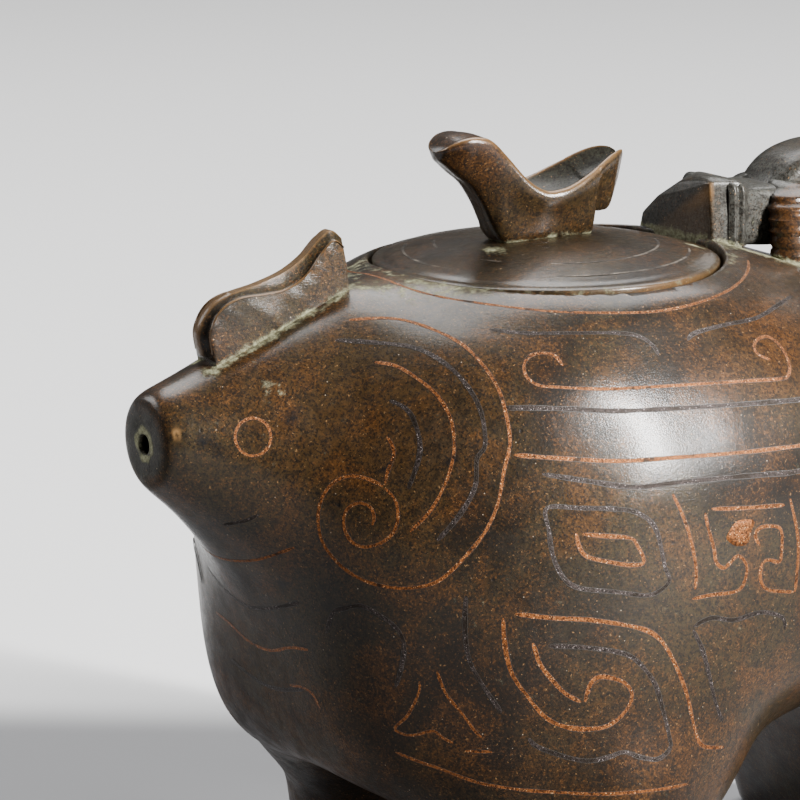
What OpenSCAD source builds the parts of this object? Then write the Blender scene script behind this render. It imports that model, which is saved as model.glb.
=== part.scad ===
// Water dropper in the form of a crested bird: a hollow casting on two legs and a
// fan tail, with a lift-off lid, a loop handle in dragon form and inlaid wires.
// The head points to -X and +Z is up. The origin is on the ground under the lid.

/* [Body] */
// Height of the lid seat's rim above the ground
rim_z = 70; // [66:1:76]
// Length of the torso's main swelling
body_l = 80.4; // [76:0.4:84]
// Width of the torso's main swelling
body_w = 59; // [56:0.5:64]
// Height of the torso's main swelling
body_h = 51; // [49:0.5:54]
// Width of the chest
chest_w = 41; // [38:0.5:46]
// Thickness of the cast wall
wall = 2.6; // [2.4:0.1:3.4]

/* [Head and spout] */
// Reach of the nose's flat face in front of the lid's axis
nose_x = 48.2; // [47.5:0.1:49.2]
// Drop of the nose's axis below the rim
nose_drop = 13.5; // [11:0.5:15]
// Radius of the head at the nose
nose_r = 4.2; // [3.8:0.1:4.8]
// Diameter of the spout hole
spout_d = 2.1; // [1.6:0.1:2.6]

/* [Legs and tail] */
// Distance of each foot from the middle plane
foot_y = 20.5; // [19:0.5:22]
// Radius of the foot
foot_r = 7; // [6:0.25:8]
// Distance of the tail's foot behind the lid's axis
tail_x = 46; // [44:0.5:47]
// Half width of the tail fan at the ground
tail_half_w = 22; // [18:0.5:24]

/* [Lid] */
// Diameter of the lid plate
lid_d = 36; // [34:0.5:37]
// Running gap between the lid and its seat
lid_gap = 0.3; // [0.2:0.05:0.4]
// Depth of the seat below the rim
seat_depth = 1.2; // [1:0.1:1.6]
// Width of the ledge that the lid plate rests on
ledge_w = 2.6; // [2:0.1:3.2]
// Rise of the lid's dome above the rim
dome_rise = 3; // [2:0.1:3.6]
// Thickness of the lid plate
lid_t = 1.6; // [1.4:0.1:2]
// Depth of the collar that centres the lid in the mouth
collar_h = 3.6; // [3:0.2:5]
// Wall of the collar
collar_t = 1.4; // [1.2:0.1:1.8]

/* [Finial] */
// Height of the finial's head above the rim
finial_top = 14.3; // [12:0.1:15]
// Half width of the finial's spread tail
finial_half_w = 4.4; // [3.6:0.1:5]

/* [Crest] */
// Thickness of the crest at its root
crest_t = 3.6; // [3:0.1:4.2]
// Height of the crest's tip above the rim
crest_top = 5.9; // [5:0.1:7]

/* [Handle] */
// Half width of the handle's head
handle_half_w = 5.6; // [5:0.1:6.2]
// Height of the handle's back above the rim
handle_top = 10.4; // [9.4:0.1:12]
// Thickness of the handle's back
handle_t = 4.6; // [4:0.1:5.4]

/* [Inlay] */
// Width of the inlaid wire
wire_w = 0.55; // [0.45:0.05:0.7]
// Depth of the wire's groove
wire_depth = 0.35; // [0.25:0.05:0.5]
// Height that the wire stands proud of the skin
wire_proud = 0.05; // [0.03:0.01:0.1]
// Radius of the ring round each eye
eye_r = 1.9; // [1.6:0.1:2.2]

/* [Hidden] */
PAIRS = ["copper_eye_ring", "copper_wing_spiral", "silver_wing_arcs", "copper_back_scroll",
    "silver_back_scroll", "copper_wing_bar", "silver_wing_bars", "silver_shield", "copper_shield_heart",
    "copper_fret", "copper_fret_patch", "copper_thigh_scroll", "silver_thigh_scroll",
    "copper_belly_border", "silver_flank_scroll", "copper_shank_lines", "silver_shank_lines",
    "copper_rump_spiral"];

copper = "#b06a3c";
silver = "#8f8a8c";
bronze = "#5a4630";
dark_bronze = "#463a2e";

skin_cell = 2.8;
cavity_cell = 4.4;
ground_margin = 12;
side_margin = 5;
blend = 2.8;
torso_blend = 1.6;
root_sink = 0.8;
ledge_t = 2.2;

lid_r = lid_d / 2;
seat_r = lid_r + lid_gap;
mouth_r = seat_r - ledge_w;
collar_r = mouth_r - lid_gap;
seat_z = rim_z - seat_depth;
torso_x = 5.8;
back_rise = 0.5;
torso_z = rim_z + back_rise - body_h / 2;
chest_z = rim_z - 32.5;
shoulder_r = seat_r + 5.2;
rim_r = seat_r + 2.4;
head_root = [-23, 0, rim_z - 20];
crown_root = [-24, 0, rim_z - 9.8];
nose_centre = [2.6 - nose_x, 0, rim_z - nose_drop];
thigh_z = rim_z - 41;
tail_root = [32, rim_z - 32];
tail_foot = [tail_x, -4];
leg_top = rim_z + back_rise - body_h - 6;
net_spare = 3 * skin_cell;
rear_x = 20;
body_low = [-nose_x - side_margin, -body_w / 2 - 7, -ground_margin];
body_span = [nose_x + tail_x + 14, body_w + 14];
eye_place = [-40.5, 12.5];

// Field of a super ellipsoid: 0 on its surface and negative inside
function egg(p, centre, half, n) =
    pow([for (i = [0:2]) pow(abs((p[i] - centre[i]) / half[i]), n)] * [1, 1, 1], 1 / n) - 1;

// Distance to a cone with round ends
function round_cone(p, a, b, r1, r2) =
    let (axis = b - a, l2 = axis * axis, dr = r1 - r2, a2 = l2 - dr * dr, y = (p - a) * axis, z = y - l2)
    let (across = (p - a) * l2 - axis * y, x2 = across * across, k = sign(dr) * dr * dr * x2)
    sign(z) * a2 * z * z * l2 > k ? sqrt(x2 + z * z * l2) / l2 - r2
    : sign(y) * a2 * y * y * l2 < k ? sqrt(x2 + y * y * l2) / l2 - r1
    : (sqrt(x2 * a2 / l2) + y * dr) / l2 - r1;

// Distance to an upright disc with a rounded edge
function puck(p, centre, r, half_h, round) =
    let (out = norm([p[0] - centre[0], p[1] - centre[1]]) - r + round, up = abs(p[2] - centre[2]) - half_h + round)
    min(max(out, up), 0) + norm([max(out, 0), max(up, 0)]) - round;

// Least of several fields, with their seams melted together over a width k
function melt(v, k) = let (low = min(v)) low - k * ln([for (x = v) exp((low - x) / k)] * [for (x = v) 1]);

function folded(p) = [p[0], abs(p[1]), p[2]];

// The torso with the chest, the shoulder round the lid seat, and the head
function torso(p) = melt([
    27 * egg(p, [torso_x, 0, torso_z], [body_l, body_w, body_h] / 2, 2.5),
    16 * egg(p, [-2, 0, rim_z - 15], [shoulder_r + 3.5, shoulder_r, 15.2], 2.7),
    18 * egg(p, [-12.3, 0, chest_z], [22.5, chest_w / 2, 19.2], 3.6),
    puck(p, [0, 0, rim_z - 7.6], rim_r, 7, 4),
    round_cone(p, head_root, nose_centre, 16, nose_r),
    round_cone(p, crown_root, nose_centre + [1.2, 0, 0.8], 9.4, nose_r + 0.1)], torso_blend);

function thigh(p) = 14 * egg(p, [-7, foot_y - 3, thigh_z], [18, 11.5, 20], 2.2);
function leg(p) = round_cone(p, [-8, foot_y - 1.5, rim_z - 48], [-10, foot_y, foot_r - 3], foot_r + 4, foot_r);

// The tail: a slab that thins and spreads from the rump to the ground
function tail(p) =
    let (axis = tail_foot - tail_root, from = [p[0], p[2]] - tail_root)
    let (t = max(0, min(1, from * axis / (axis * axis))), off = from - t * axis, half = 9 - 6 * t)
    let (side = max(p[1] - (tail_half_w - 5 + 5 * t - half), 0))
    sqrt(off * off + side * side) - half;

// Outer skin of the casting, and the field of its cavity, which is flat under the lid's ledge
function skin(p) = let (q = folded(p)) melt([torso(q), thigh(q), leg(q), tail(q)], blend);
function cavity(p) = max(torso(folded(p)) + wall, p[2] - seat_z + ledge_t);
function field(p, inside) = inside ? cavity(p) : skin(p);

function slope(p, inside) =
    let (e = 0.05)
    [for (d = [[e, 0, 0], [0, e, 0], [0, 0, e]]) (field(p + d, inside) - field(p - d, inside)) / (2 * e)];
function settled(p, inside, steps) =
    steps == 0 ? p : let (g = slope(p, inside)) settled(p - g * field(p, inside) / (g * g), inside, steps - 1);

// Point on the skin between an outer and an inner point
function skin_point(outer, inner, steps) =
    let (middle = (outer + inner) / 2)
    steps == 0 ? middle
    : skin(middle) > 0 ? skin_point(middle, inner, steps - 1) : skin_point(outer, middle, steps - 1);

// Closed net of points settled on a field's surface, one for each grid cell that it crosses.
// A limit on its height closes it in the two cells above.
module field_net(inside, cell, top = rim_z + side_margin) {
    nx = ceil(body_span[0] / cell);
    ny = ceil(body_span[1] / cell);
    nz = ceil((top + ground_margin) / cell);
    v = [for (i = [0:nx]) [for (j = [0:ny]) [for (k = [0:nz])
        k == nz ? 1 : field(body_low + cell * [i, j, k], inside)]]];
    crossed = [for (i = [0:nx - 1]) for (j = [0:ny - 1]) for (k = [0:nz - 1])
        let (c = [for (a = [0, 1]) for (b = [0, 1]) for (d = [0, 1]) v[i + a][j + b][k + d]])
        min(c) < 0 && max(c) >= 0 ? 1 : 0];
    order = [for (n = 0, s = 0; n < len(crossed); s = s + crossed[n], n = n + 1) s];
    function at(i, j, k) = order[(i * ny + j) * nz + k];
    points = [for (i = [0:nx - 1]) for (j = [0:ny - 1]) for (k = [0:nz - 1])
        if (crossed[(i * ny + j) * nz + k] == 1) settled(body_low + cell * [i + 0.5, j + 0.5, k + 0.5], inside, 3)];
    function facing(f, flip) = flip ? [[f[3], f[2], f[1]], [f[3], f[1], f[0]]] : [[f[0], f[1], f[2]], [f[0], f[2], f[3]]];
    faces = [for (i = [1:nx - 1]) for (j = [1:ny - 1]) for (k = [1:nz - 1]) let (low = v[i][j][k] < 0) each [
        if (low != (v[i + 1][j][k] < 0))
            each facing([at(i, j - 1, k - 1), at(i, j, k - 1), at(i, j, k), at(i, j - 1, k)], low),
        if (low != (v[i][j + 1][k] < 0))
            each facing([at(i - 1, j, k - 1), at(i - 1, j, k), at(i, j, k), at(i, j, k - 1)], low),
        if (low != (v[i][j][k + 1] < 0))
            each facing([at(i - 1, j - 1, k), at(i, j - 1, k), at(i, j, k), at(i - 1, j, k)], low)]];
    polyhedron(points = points, faces = faces, convexity = 8);
}

// Smooth line through hand-set points, with a number of steps from each point to the next
function spline(p, steps) =
    let (last = len(p) - 1)
    concat([for (i = [0:last - 1]) for (s = [0:steps - 1])
        let (t = s / steps, a = p[max(i - 1, 0)], b = p[i], c = p[i + 1], d = p[min(i + 2, last)])
        (2 * b + t * (c - a) + t * t * (2 * a - 5 * b + 4 * c - d) + t * t * t * (3 * b - a - 3 * c + d)) / 2],
        [p[last]]);
function arc_line(centre, r, from, to, n) =
    [for (i = [0:n]) let (a = from + (to - from) * i / n) centre + r * [cos(a), sin(a)]];

// Solid lofted through rings that all have the same number of points
module loft(rings) {
    n = len(rings[0]);
    last = len(rings) - 1;
    ends = [for (r = [rings[0], rings[last]]) [for (i = [0:n - 1]) 1 / n] * r];
    points = concat([for (r = rings) each r], ends);
    sides = [for (k = [0:last - 1]) for (i = [0:n - 1]) let (j = (i + 1) % n)
        each [[k * n + i, k * n + j, (k + 1) * n + j], [k * n + i, (k + 1) * n + j, (k + 1) * n + i]]];
    caps = [for (i = [0:n - 1]) let (j = (i + 1) % n)
        each [[j, i, (last + 1) * n], [last * n + i, last * n + j, (last + 1) * n + 1]]];
    polyhedron(points = points, faces = concat(sides, caps), convexity = 6);
}

// Places on the skin of a line drawn from the side, the front or above.
// Side lines are [x, drop below the rim], front and back lines [y, drop] and top lines [x, y].
function on_side(line) = [for (p = line)
    skin_point([p[0], -body_w, rim_z - p[1]], [p[0], 0, rim_z - p[1]], 16)];
function on_front(line) = [for (p = line)
    skin_point([-nose_x, p[0], rim_z - p[1]], [-nose_x + 30, p[0], rim_z - p[1]], 16)];
function on_back(line) = [for (p = line)
    skin_point([tail_x + 20, p[0], rim_z - p[1]], [tail_x - 30, p[0], rim_z - p[1]], 16)];
function on_top(line) = [for (p = line)
    skin_point([p[0], p[1], rim_z + 10], [p[0], p[1], rim_z - 20], 16)];

// Wire hammered into a groove along places on the skin
module wire(places) {
    last = len(places) - 1;
    loft([for (i = [0:last])
        let (p = places[i], g = slope(p, false), n = g / norm(g))
        let (along = places[min(i + 1, last)] - places[max(i - 1, 0)], side = cross(n, along))
        let (s = side / norm(side) * wire_w / 2)
        [p - s + n * wire_proud, p + s + n * wire_proud, p + s - n * wire_depth, p - s - n * wire_depth]]);
}

// Thin leaf let into the skin inside a closed line of places
module leaf(places) {
    n = len(places);
    middle = [for (i = [0:n - 1]) 1 / n] * places;
    function shifted(p, d) = let (g = slope(p, false)) p + g / norm(g) * d;
    top = [for (p = places) shifted(p, wire_proud)];
    low = [for (p = places) shifted(p, -wire_depth)];
    points = concat(top, low, [shifted(middle, wire_proud), shifted(middle, -wire_depth)]);
    polyhedron(points = points, faces = [for (i = [0:n - 1]) let (j = (i + 1) % n) each [
        [i, j, 2 * n], [n + j, n + i, 2 * n + 1], [j, i, n + i], [j, n + i, n + j]]]);
}

// The hollow casting down to its legs
module body_shell() {
    color(bronze) difference() {
        field_net(false, skin_cell);
        field_net(true, cavity_cell);
        translate([0, 0, seat_z]) cylinder(r = seat_r, h = seat_depth + 10, $fn = 120);
        translate([0, 0, seat_z - 12]) cylinder(r = mouth_r, h = 14, $fn = 120);
        translate([-nose_x - 1, 0, rim_z - nose_drop]) rotate([0, 90, 0]) cylinder(d = spout_d, h = 16, $fn = 32);
        translate([-nose_x - 20, -20, 0]) cube([20, 40, rim_z]);
        translate([-100, -100, -60]) cube([200, 200, 60 + leg_top]);
    }
}

// The casting's three supports, below the belly
module support(low, high) {
    color(bronze) intersection() {
        field_net(false, skin_cell, leg_top + net_spare);
        translate([low[0], low[1], 0]) cube([high[0] - low[0], high[1] - low[1], leg_top]);
    }
}
module leg_left() { support([-100, -100], [rear_x, 0]); }
module leg_right() { support([-100, 0], [rear_x, 100]); }
module fan_tail() { support([rear_x, -100], [100, 100]); }

// The crest on the head: a slab with a broad bevel along its upper edge.
// Each row is [root x, bevel x, bevel height, edge x, edge height], with heights above the rim.
crest_rows = [
    [-40.6, -41.2, -5.0, -41.6, -5.2],
    [-40.2, -41.4, -2.9, -42.1, -2.9],
    [-39.4, -40.2, -0.8, -40.8, -0.6],
    [-37.4, -38.0, 0.2, -38.6, 0.6],
    [-34.6, -35.0, 0.3, -35.2, 1.3],
    [-32.2, -32.4, 0.6, -32.2, 2.2],
    [-30.4, -30.3, 1.7, -29.9, 3.5],
    [-28.6, -28.4, 3.8, -28.0, 5.2],
    [-26.6, -27.0, 4.9, -26.6, 5.9],
    [-25.2, -25.8, 4.2, -25.4, 5.0]];
module crest() {
    lift = crest_top / 5.9;
    t = crest_t / 2;
    color(dark_bronze) loft([for (r = crest_rows)
        let (root = on_top([[r[0], t]])[0][2] - root_sink, bevel = rim_z + r[2] * lift, edge = rim_z + r[4] * lift)
        [[r[0], -t, root], [r[1], -t * 0.85, bevel], [r[3], -t * 0.35, edge],
            [r[3], t * 0.35, edge], [r[1], t * 0.85, bevel], [r[0], t, root]]]);
}

// One ring of the handle: a rounded oblong that stands square to the handle's line
function handle_ring(x, z, turn, half_h, half_w) = [for (i = [0:11])
    let (a = 30 * i + 15, c = cos(a), s = sin(a))
    let (w = half_w * sign(c) * pow(abs(c), 0.6), h = half_h * sign(s) * pow(abs(s), 0.6))
    [x - h * sin(turn), -w, rim_z + z + h * cos(turn)]];

// The handle: a hornless dragon with its muzzle at the seat's rim, its forelegs and its
// tail on the rump, and its back arched over a finger gap.
// Rows are [x, height above the rim, turn, half height, share of the half width].
back_z = handle_top - handle_t / 2;
handle_rows = [
    [seat_r + 0.5, 0.9, -20, 1.5, 0.85],
    [seat_r + 1.0, 2.2, -15, 2.9, 1.05],
    [seat_r + 2.2, 3.4, 0, 3.4, 1.0],
    [seat_r + 3.6, 3.2, 0, 3.1, 0.85],
    [seat_r + 5.0, 3.0, 0, 2.6, 0.8],
    [seat_r + 6.6, 3.0, 0, 2.4, 0.8],
    [seat_r + 8.4, 3.8, 25, 2.6, 0.85],
    [seat_r + 10.2, back_z - 2.6, 40, 3.0, 0.9],
    [seat_r + 12.6, back_z - 0.6, 25, handle_t / 2 + 0.2, 0.85],
    [seat_r + 16, back_z, 0, handle_t / 2, 0.75],
    [seat_r + 19.6, back_z - 1.0, -28, handle_t / 2, 0.65],
    [seat_r + 22.8, back_z - 4.0, -58, handle_t / 2, 0.58],
    [seat_r + 24.4, back_z - 8.6, -80, handle_t / 2 - 0.2, 0.54],
    [seat_r + 24.7, back_z - 14.5, -92, handle_t / 2 - 0.4, 0.5],
    [seat_r + 24.8, back_z - 19.4, -98, handle_t / 2 - 0.7, 0.46],
    [seat_r + 24.9, back_z - 23.0, -104, handle_t / 2 - 1.2, 0.42]];
module handle_foreleg() {
    loft([for (r = [[28.6, 3.4, 7, 2.9, 2.2], [28.2, 5.2, 3, 3.1, 2.2], [27.8, 6.4, -1, 3.2, 2.1],
            [27.4, 7.2, -3, 3.4, 2.1], [27.2, 7.6, -4.6, 3.6, 2.2]])
        [for (i = [0:9]) [r[0] + r[3] * cos(36 * i), r[4] * sin(36 * i) - r[1], rim_z + r[2]]]]);
}
module dragon_handle() {
    color(dark_bronze) union() {
        loft([for (r = handle_rows) handle_ring(r[0], r[1], r[2], r[3], r[4] * handle_half_w)]);
        handle_foreleg();
        mirror([0, 1, 0]) handle_foreleg();
    }
}

// The lid: a shallow domed plate that rests on the seat's ledge
dome_r = (lid_r * lid_r + pow(dome_rise - 0.3, 2)) / (2 * (dome_rise - 0.3));
dome_centre = rim_z + dome_rise - dome_r;
function dome_z(r) = dome_centre + sqrt(dome_r * dome_r - r * r);
module lid_plate() {
    color(bronze) rotate_extrude($fn = 120) difference() {
        intersection() {
            translate([0, dome_centre]) circle(r = dome_r, $fn = 360);
            translate([0, seat_z]) square([lid_r, 10]);
        }
        intersection() {
            translate([0, dome_centre]) circle(r = dome_r - lid_t, $fn = 360);
            translate([-1, seat_z - 1]) square([collar_r - collar_t + 1, 10]);
        }
    }
}
module lid_collar() {
    color(dark_bronze) translate([0, 0, seat_z - collar_h]) rotate_extrude($fn = 120)
        translate([collar_r - collar_t, 0]) square([collar_t, collar_h]);
}

// The finial: a small bird with a round head and a hollowed, spread tail.
// Rows are [x, height of the middle, height of the rims, half width, height of the underside].
finial_rows = [
    [-13.6, 12.2, 12.3, 1.0, 11.8],
    [-13.0, 13.5, 13.4, 2.2, 11.0],
    [-11.8, 14.2, 14.0, 2.8, 10.2],
    [-10.2, 14.3, 14.1, 3.0, 8.6],
    [-8.6, 13.7, 13.6, 3.0, 6.2],
    [-6.8, 11.6, 12.2, 3.2, 3.4],
    [-4.6, 9.0, 10.0, 3.6, 1.6],
    [-2.4, 7.4, 8.4, 4.0, 1.6],
    [0.2, 6.9, 8.0, 4.3, 1.6],
    [2.6, 7.3, 8.5, 4.4, 1.6],
    [3.9, 7.8, 8.9, 4.4, 4.4],
    [5.6, 8.8, 9.8, 4.4, 4.8],
    [7.4, 9.4, 10.6, 4.3, 6.6],
    [8.6, 9.8, 10.8, 4.0, 8.2]];
module bird_finial() {
    lift = finial_top / 14.3;
    spread = finial_half_w / 4.4;
    function low_z(z) = z < 2 ? dome_z(5) - 0.3 : rim_z + z * lift;
    color(dark_bronze) loft([for (r = finial_rows)
        let (w = r[3] * spread, foot = r[4] < 4 ? 0.62 : 0.5, low = low_z(r[4]), rim = rim_z + r[2] * lift)
        let (deep = rim - low, waist = low + deep * 0.5, lip = rim - deep * 0.14)
        [[r[0], -w * foot, low], [r[0], -w * 0.78, waist], [r[0], -w, lip], [r[0], -w * 0.86, rim],
            [r[0], 0, rim_z + r[1] * lift], [r[0], w * 0.86, rim], [r[0], w, lip],
            [r[0], w * 0.78, waist], [r[0], w * foot, low]]]);
}

// Rings of silver wire let into the lid's dome
module silver_lid_rings() {
    color(silver) for (r = [lid_r - 3.2, lid_r - 6.4])
        rotate_extrude($fn = 96) polygon([
            [r - wire_w / 2, dome_z(r) - wire_depth], [r + wire_w / 2, dome_z(r) - wire_depth],
            [r + wire_w / 2, dome_z(r) + wire_proud], [r - wire_w / 2, dome_z(r) + wire_proud]]);
}

// Wires that cross the middle plane
module copper_shoulder_ring() {
    color(copper) wire(on_top(arc_line([0, 0], seat_r + 2.6, 32, 328, 72)));
}
module copper_breast_lines() {
    color(copper) for (line = [
        spline([[-10, 23], [-6, 25.5], [0, 26.5], [6, 25.5], [10, 23]], 3),
        spline([[-9, 33], [-5, 35], [0, 35.5], [5, 35], [9, 33]], 3)]) wire(on_front(line));
}
module silver_breast_lines() {
    color(silver) for (line = [
        spline([[-9, 29], [-4, 31], [0, 31.4], [4, 31], [9, 29]], 3),
        spline([[-7, 39], [-3, 40], [0, 40.2], [3, 40], [7, 39]], 3)]) wire(on_front(line));
}

module copper_tail_lines() {
    color(copper) for (side = [-1, 1])
        wire(on_back(spline([[4.6 * side, 38], [5.4 * side, 52], [6.4 * side, 66]], 5)));
}
module silver_tail_lines() {
    color(silver) for (side = [-1, 1]) {
        wire(on_back(spline([[9.6 * side, 37], [11.2 * side, 52], [13 * side, 66]], 5)));
        wire(on_back(spline([[14 * side, 40], [16 * side, 53], [18.4 * side, 65]], 5)));
    }
}

// Wires of the left side, which the right side mirrors
module side_inlay(name) {
    if (name == "copper_eye_ring")
        color(copper) wire(on_side(arc_line(eye_place, eye_r, 0, 345, 20)));
    if (name == "copper_wing_spiral") color(copper) {
        wire(on_side(spline([[-30, 12], [-30.4, 14], [-31.2, 16], [-33, 16], [-35, 17], [-36, 20], [-35.4, 24],
            [-33, 26], [-30, 26], [-27, 24], [-24.4, 20], [-22.4, 15], [-21, 10], [-20.6, 6], [-22, 3.4]], 3)));
        wire(on_side(spline([[-31.6, 17.4], [-31, 20], [-32.4, 22.4], [-34, 21.6], [-34, 19.4], [-32.6, 19]], 3)));
        wire(on_side(spline([[-28, 6], [-26, 7.4], [-25, 10.4], [-26, 14.4], [-28, 18.6], [-30, 21]], 3)));
    }
    if (name == "silver_wing_arcs") color(silver) {
        wire(on_side(spline([[-24, 4.6], [-22.4, 8], [-23, 13], [-25, 18], [-28, 22]], 4)));
        wire(on_side(spline([[-29, 9], [-28, 11], [-28.4, 14], [-30, 16.6]], 3)));
    }
    if (name == "copper_back_scroll")
        color(copper) wire(on_side(spline([[-14, 5.6], [-16, 5.2], [-17, 6.2], [-15, 8], [-10, 8.4], [-5, 8.4],
            [1, 8.8], [6, 9], [11, 9], [12.6, 7.6], [11, 6.2], [9, 6.6]], 3)));
    if (name == "silver_back_scroll") color(silver) {
        wire(on_side(spline([[-15, 3.4], [-11, 3.6], [-6, 3.9], [-3.4, 5.2]], 4)));
        wire(on_side(spline([[1, 5.2], [4, 4.2], [8, 3.8], [13, 3.4]], 4)));
    }
    if (name == "copper_wing_bar")
        color(copper) wire(on_side(spline([[-20, 13], [-14, 14.4], [-4, 15.6], [8, 16], [20, 15.6], [30, 14.6]], 4)));
    if (name == "silver_wing_bars") color(silver) {
        wire(on_side(spline([[-19.2, 9.3], [-14, 10.2], [-4, 11], [8, 11.4], [20, 11], [28, 10.4]], 4)));
        wire(on_side(spline([[-18, 15.6], [-9, 17.2], [4, 18.2], [16, 18.2], [28, 17.6]], 4)));
    }
    if (name == "silver_shield") color(silver) {
        wire(on_side(spline([[-7, 27], [-12, 27.4], [-16.4, 26], [-18, 22], [-17.6, 19], [-13, 19],
            [-9.4, 19.8], [-7.4, 22]], 3)));
    }
    if (name == "copper_shield_heart")
        color(copper) wire(on_side(spline([[-15, 21.4], [-14.8, 23.4], [-13, 24.4], [-9.6, 25], [-9.4, 23],
            [-11, 21.8], [-14.4, 21.4]], 2)));
    if (name == "copper_fret") color(copper) {
        wire(on_side(spline([[-5, 18.4], [-4, 22], [-3, 28]], 4)));
        wire(on_side(spline([[-2.6, 29], [2.4, 29], [3.6, 27], [2.6, 25.6], [0.6, 26.4], [0, 24], [-0.8, 21]], 3)));
        wire(on_side(spline([[-0.6, 20.6], [4, 20.8], [9, 21]], 3)));
        wire(on_side(spline([[9.6, 20.8], [10.2, 26], [9.8, 30.4]], 3)));
        wire(on_side(spline([[5, 24.6], [5.8, 23], [8, 23.4], [8, 26.4], [5.6, 27.2], [6, 29.6], [9, 30.4]], 3)));
    }
    if (name == "copper_fret_patch")
        color(copper) leaf(on_side([[1, 23.2], [2.2, 22], [4.6, 21.9], [4.2, 23.4], [3.6, 24.9], [2, 25]]));
    if (name == "copper_thigh_scroll") color(copper) {
        wire(on_side(spline([[-22, 29], [-18, 29.4], [-11, 30.6], [-7, 32.6], [-5, 37], [-3.4, 42], [-2, 45],
            [2, 45.2]], 4)));
        wire(on_side(spline([[-23, 29.4], [-22.6, 34], [-20.6, 37.6], [-17, 40.2], [-13, 40.4], [-11, 38.4],
            [-11.6, 36.4], [-14, 36], [-16, 38]], 3)));
        wire(on_side(spline([[-20.4, 32], [-19.6, 35], [-16, 38]], 3)));
    }
    if (name == "silver_thigh_scroll") color(silver) {
        wire(on_side(spline([[-19, 32], [-13, 33], [-9.4, 35], [-7.4, 39], [-6.6, 43.6], [-8.6, 44.8],
            [-12, 43.6], [-15, 44], [-18, 43], [-21, 41.4]], 3)));
        wire(on_side(spline([[-26, 27], [-26, 32], [-25, 36], [-23, 39]], 4)));
    }
    if (name == "copper_belly_border")
        color(copper) wire(on_side(spline([[-29, 44], [-25, 45.8], [-19, 47], [-12, 47.4], [-4, 47.8]], 5)));
    if (name == "silver_flank_scroll") color(silver) {
        wire(on_side(spline([[-3, 32], [0, 31.2], [5, 32], [9, 32.4], [9.4, 35]], 3)));
        wire(on_side(spline([[-2.8, 32.4], [-1.2, 36], [0.6, 43]], 3)));
    }
    if (name == "copper_rump_spiral") color(copper) {
        wire(on_side(spline([[17, 22], [24, 20.6], [31, 22], [34, 27], [32, 33], [26, 35.6], [20, 33.6], [17.6, 29],
            [20, 25], [25, 24], [28.6, 27], [27.4, 30.6], [24, 30.6]], 3)));
        wire(on_side(spline([[14, 36], [18, 39], [24, 40.4], [30, 39.6]], 3)));
    }
    if (name == "copper_shank_lines") color(copper) {
        wire(on_side(spline([[-28, 34], [-27, 37], [-24.4, 41]], 3)));
        wire(on_side(spline([[-30, 36], [-31, 40], [-28.6, 41.4], [-26.4, 42]], 3)));
    }
    if (name == "silver_shank_lines") color(silver) {
        wire(on_side(spline([[-34.6, 32], [-33.4, 28.4], [-31.2, 30], [-31, 36]], 4)));
    }
}

body_shell();
leg_left();
leg_right();
fan_tail();
crest();
dragon_handle();
lid_plate();
lid_collar();
bird_finial();
silver_lid_rings();
copper_shoulder_ring();
copper_breast_lines();
silver_breast_lines();
copper_tail_lines();
silver_tail_lines();
for (name = PAIRS) {
    side_inlay(name);
    mirror([0, 1, 0]) side_inlay(name);
}
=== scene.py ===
import math

import bmesh
import bpy
import numpy as np
from mathutils import Matrix


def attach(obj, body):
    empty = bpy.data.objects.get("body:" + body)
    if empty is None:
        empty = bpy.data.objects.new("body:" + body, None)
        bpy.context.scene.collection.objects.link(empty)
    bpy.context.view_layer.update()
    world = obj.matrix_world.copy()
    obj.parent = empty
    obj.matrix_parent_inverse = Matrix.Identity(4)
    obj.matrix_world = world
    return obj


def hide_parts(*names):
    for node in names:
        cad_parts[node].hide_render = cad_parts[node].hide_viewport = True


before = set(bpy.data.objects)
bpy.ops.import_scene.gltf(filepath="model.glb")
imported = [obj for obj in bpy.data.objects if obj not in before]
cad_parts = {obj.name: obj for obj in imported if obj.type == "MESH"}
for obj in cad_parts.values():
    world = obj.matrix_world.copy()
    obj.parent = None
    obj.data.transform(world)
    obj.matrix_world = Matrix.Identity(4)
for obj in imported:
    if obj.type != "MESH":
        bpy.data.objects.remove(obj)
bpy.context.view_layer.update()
mm = 0.001

# The camera stands half a metre from the lid, at the height of a low seat.
photoView = {
    "azimuth": -35.0,
    "elevation": 10.6,
    "distance": 500.0,
    "lidCentre": (0.0, 0.0, 70.0),
    "aimRight": -15.0,
    "aimUp": -14.5,
    "focalPx": 4835.0,
    "framePx": 800.0,
}


def stand(thing, side, up, back, place):
    # Columns of the matrix: the thing's own x, y and z, then where it is.
    rows = [[side[i], up[i], back[i], place[i] * mm] for i in range(3)]
    thing.matrix_world = Matrix(rows + [[0, 0, 0, 1]])


def placed(name, data):
    thing = bpy.data.objects.new(name, data)
    bpy.context.collection.objects.link(thing)
    return thing


def placeCamera():
    az, el = math.radians(photoView["azimuth"]), math.radians(photoView["elevation"])
    back = np.array([math.sin(az) * math.cos(el), -math.cos(az) * math.cos(el), math.sin(el)])
    right = np.array([math.cos(az), math.sin(az), 0.0])
    up = np.cross(back, right)
    lid = np.array(photoView["lidCentre"])
    eye = lid + back * photoView["distance"]
    aim = lid + right * photoView["aimRight"] + up * photoView["aimUp"]
    ahead = (aim - eye) / np.linalg.norm(aim - eye)
    across = np.cross(ahead, (0, 0, 1))
    across /= np.linalg.norm(across)
    above = np.cross(across, ahead)
    data = bpy.data.cameras.new("photoCamera")
    data.sensor_width = 36.0
    data.lens = photoView["focalPx"] / photoView["framePx"] * data.sensor_width
    data.clip_start, data.clip_end = 0.01, 20.0
    camera = placed("photoCamera", data)
    stand(camera, across, above, -ahead, eye)
    bpy.context.scene.camera = camera
    return eye, ahead, across, above


eye, ahead, across, above = placeCamera()
print("camera placed")

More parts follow.
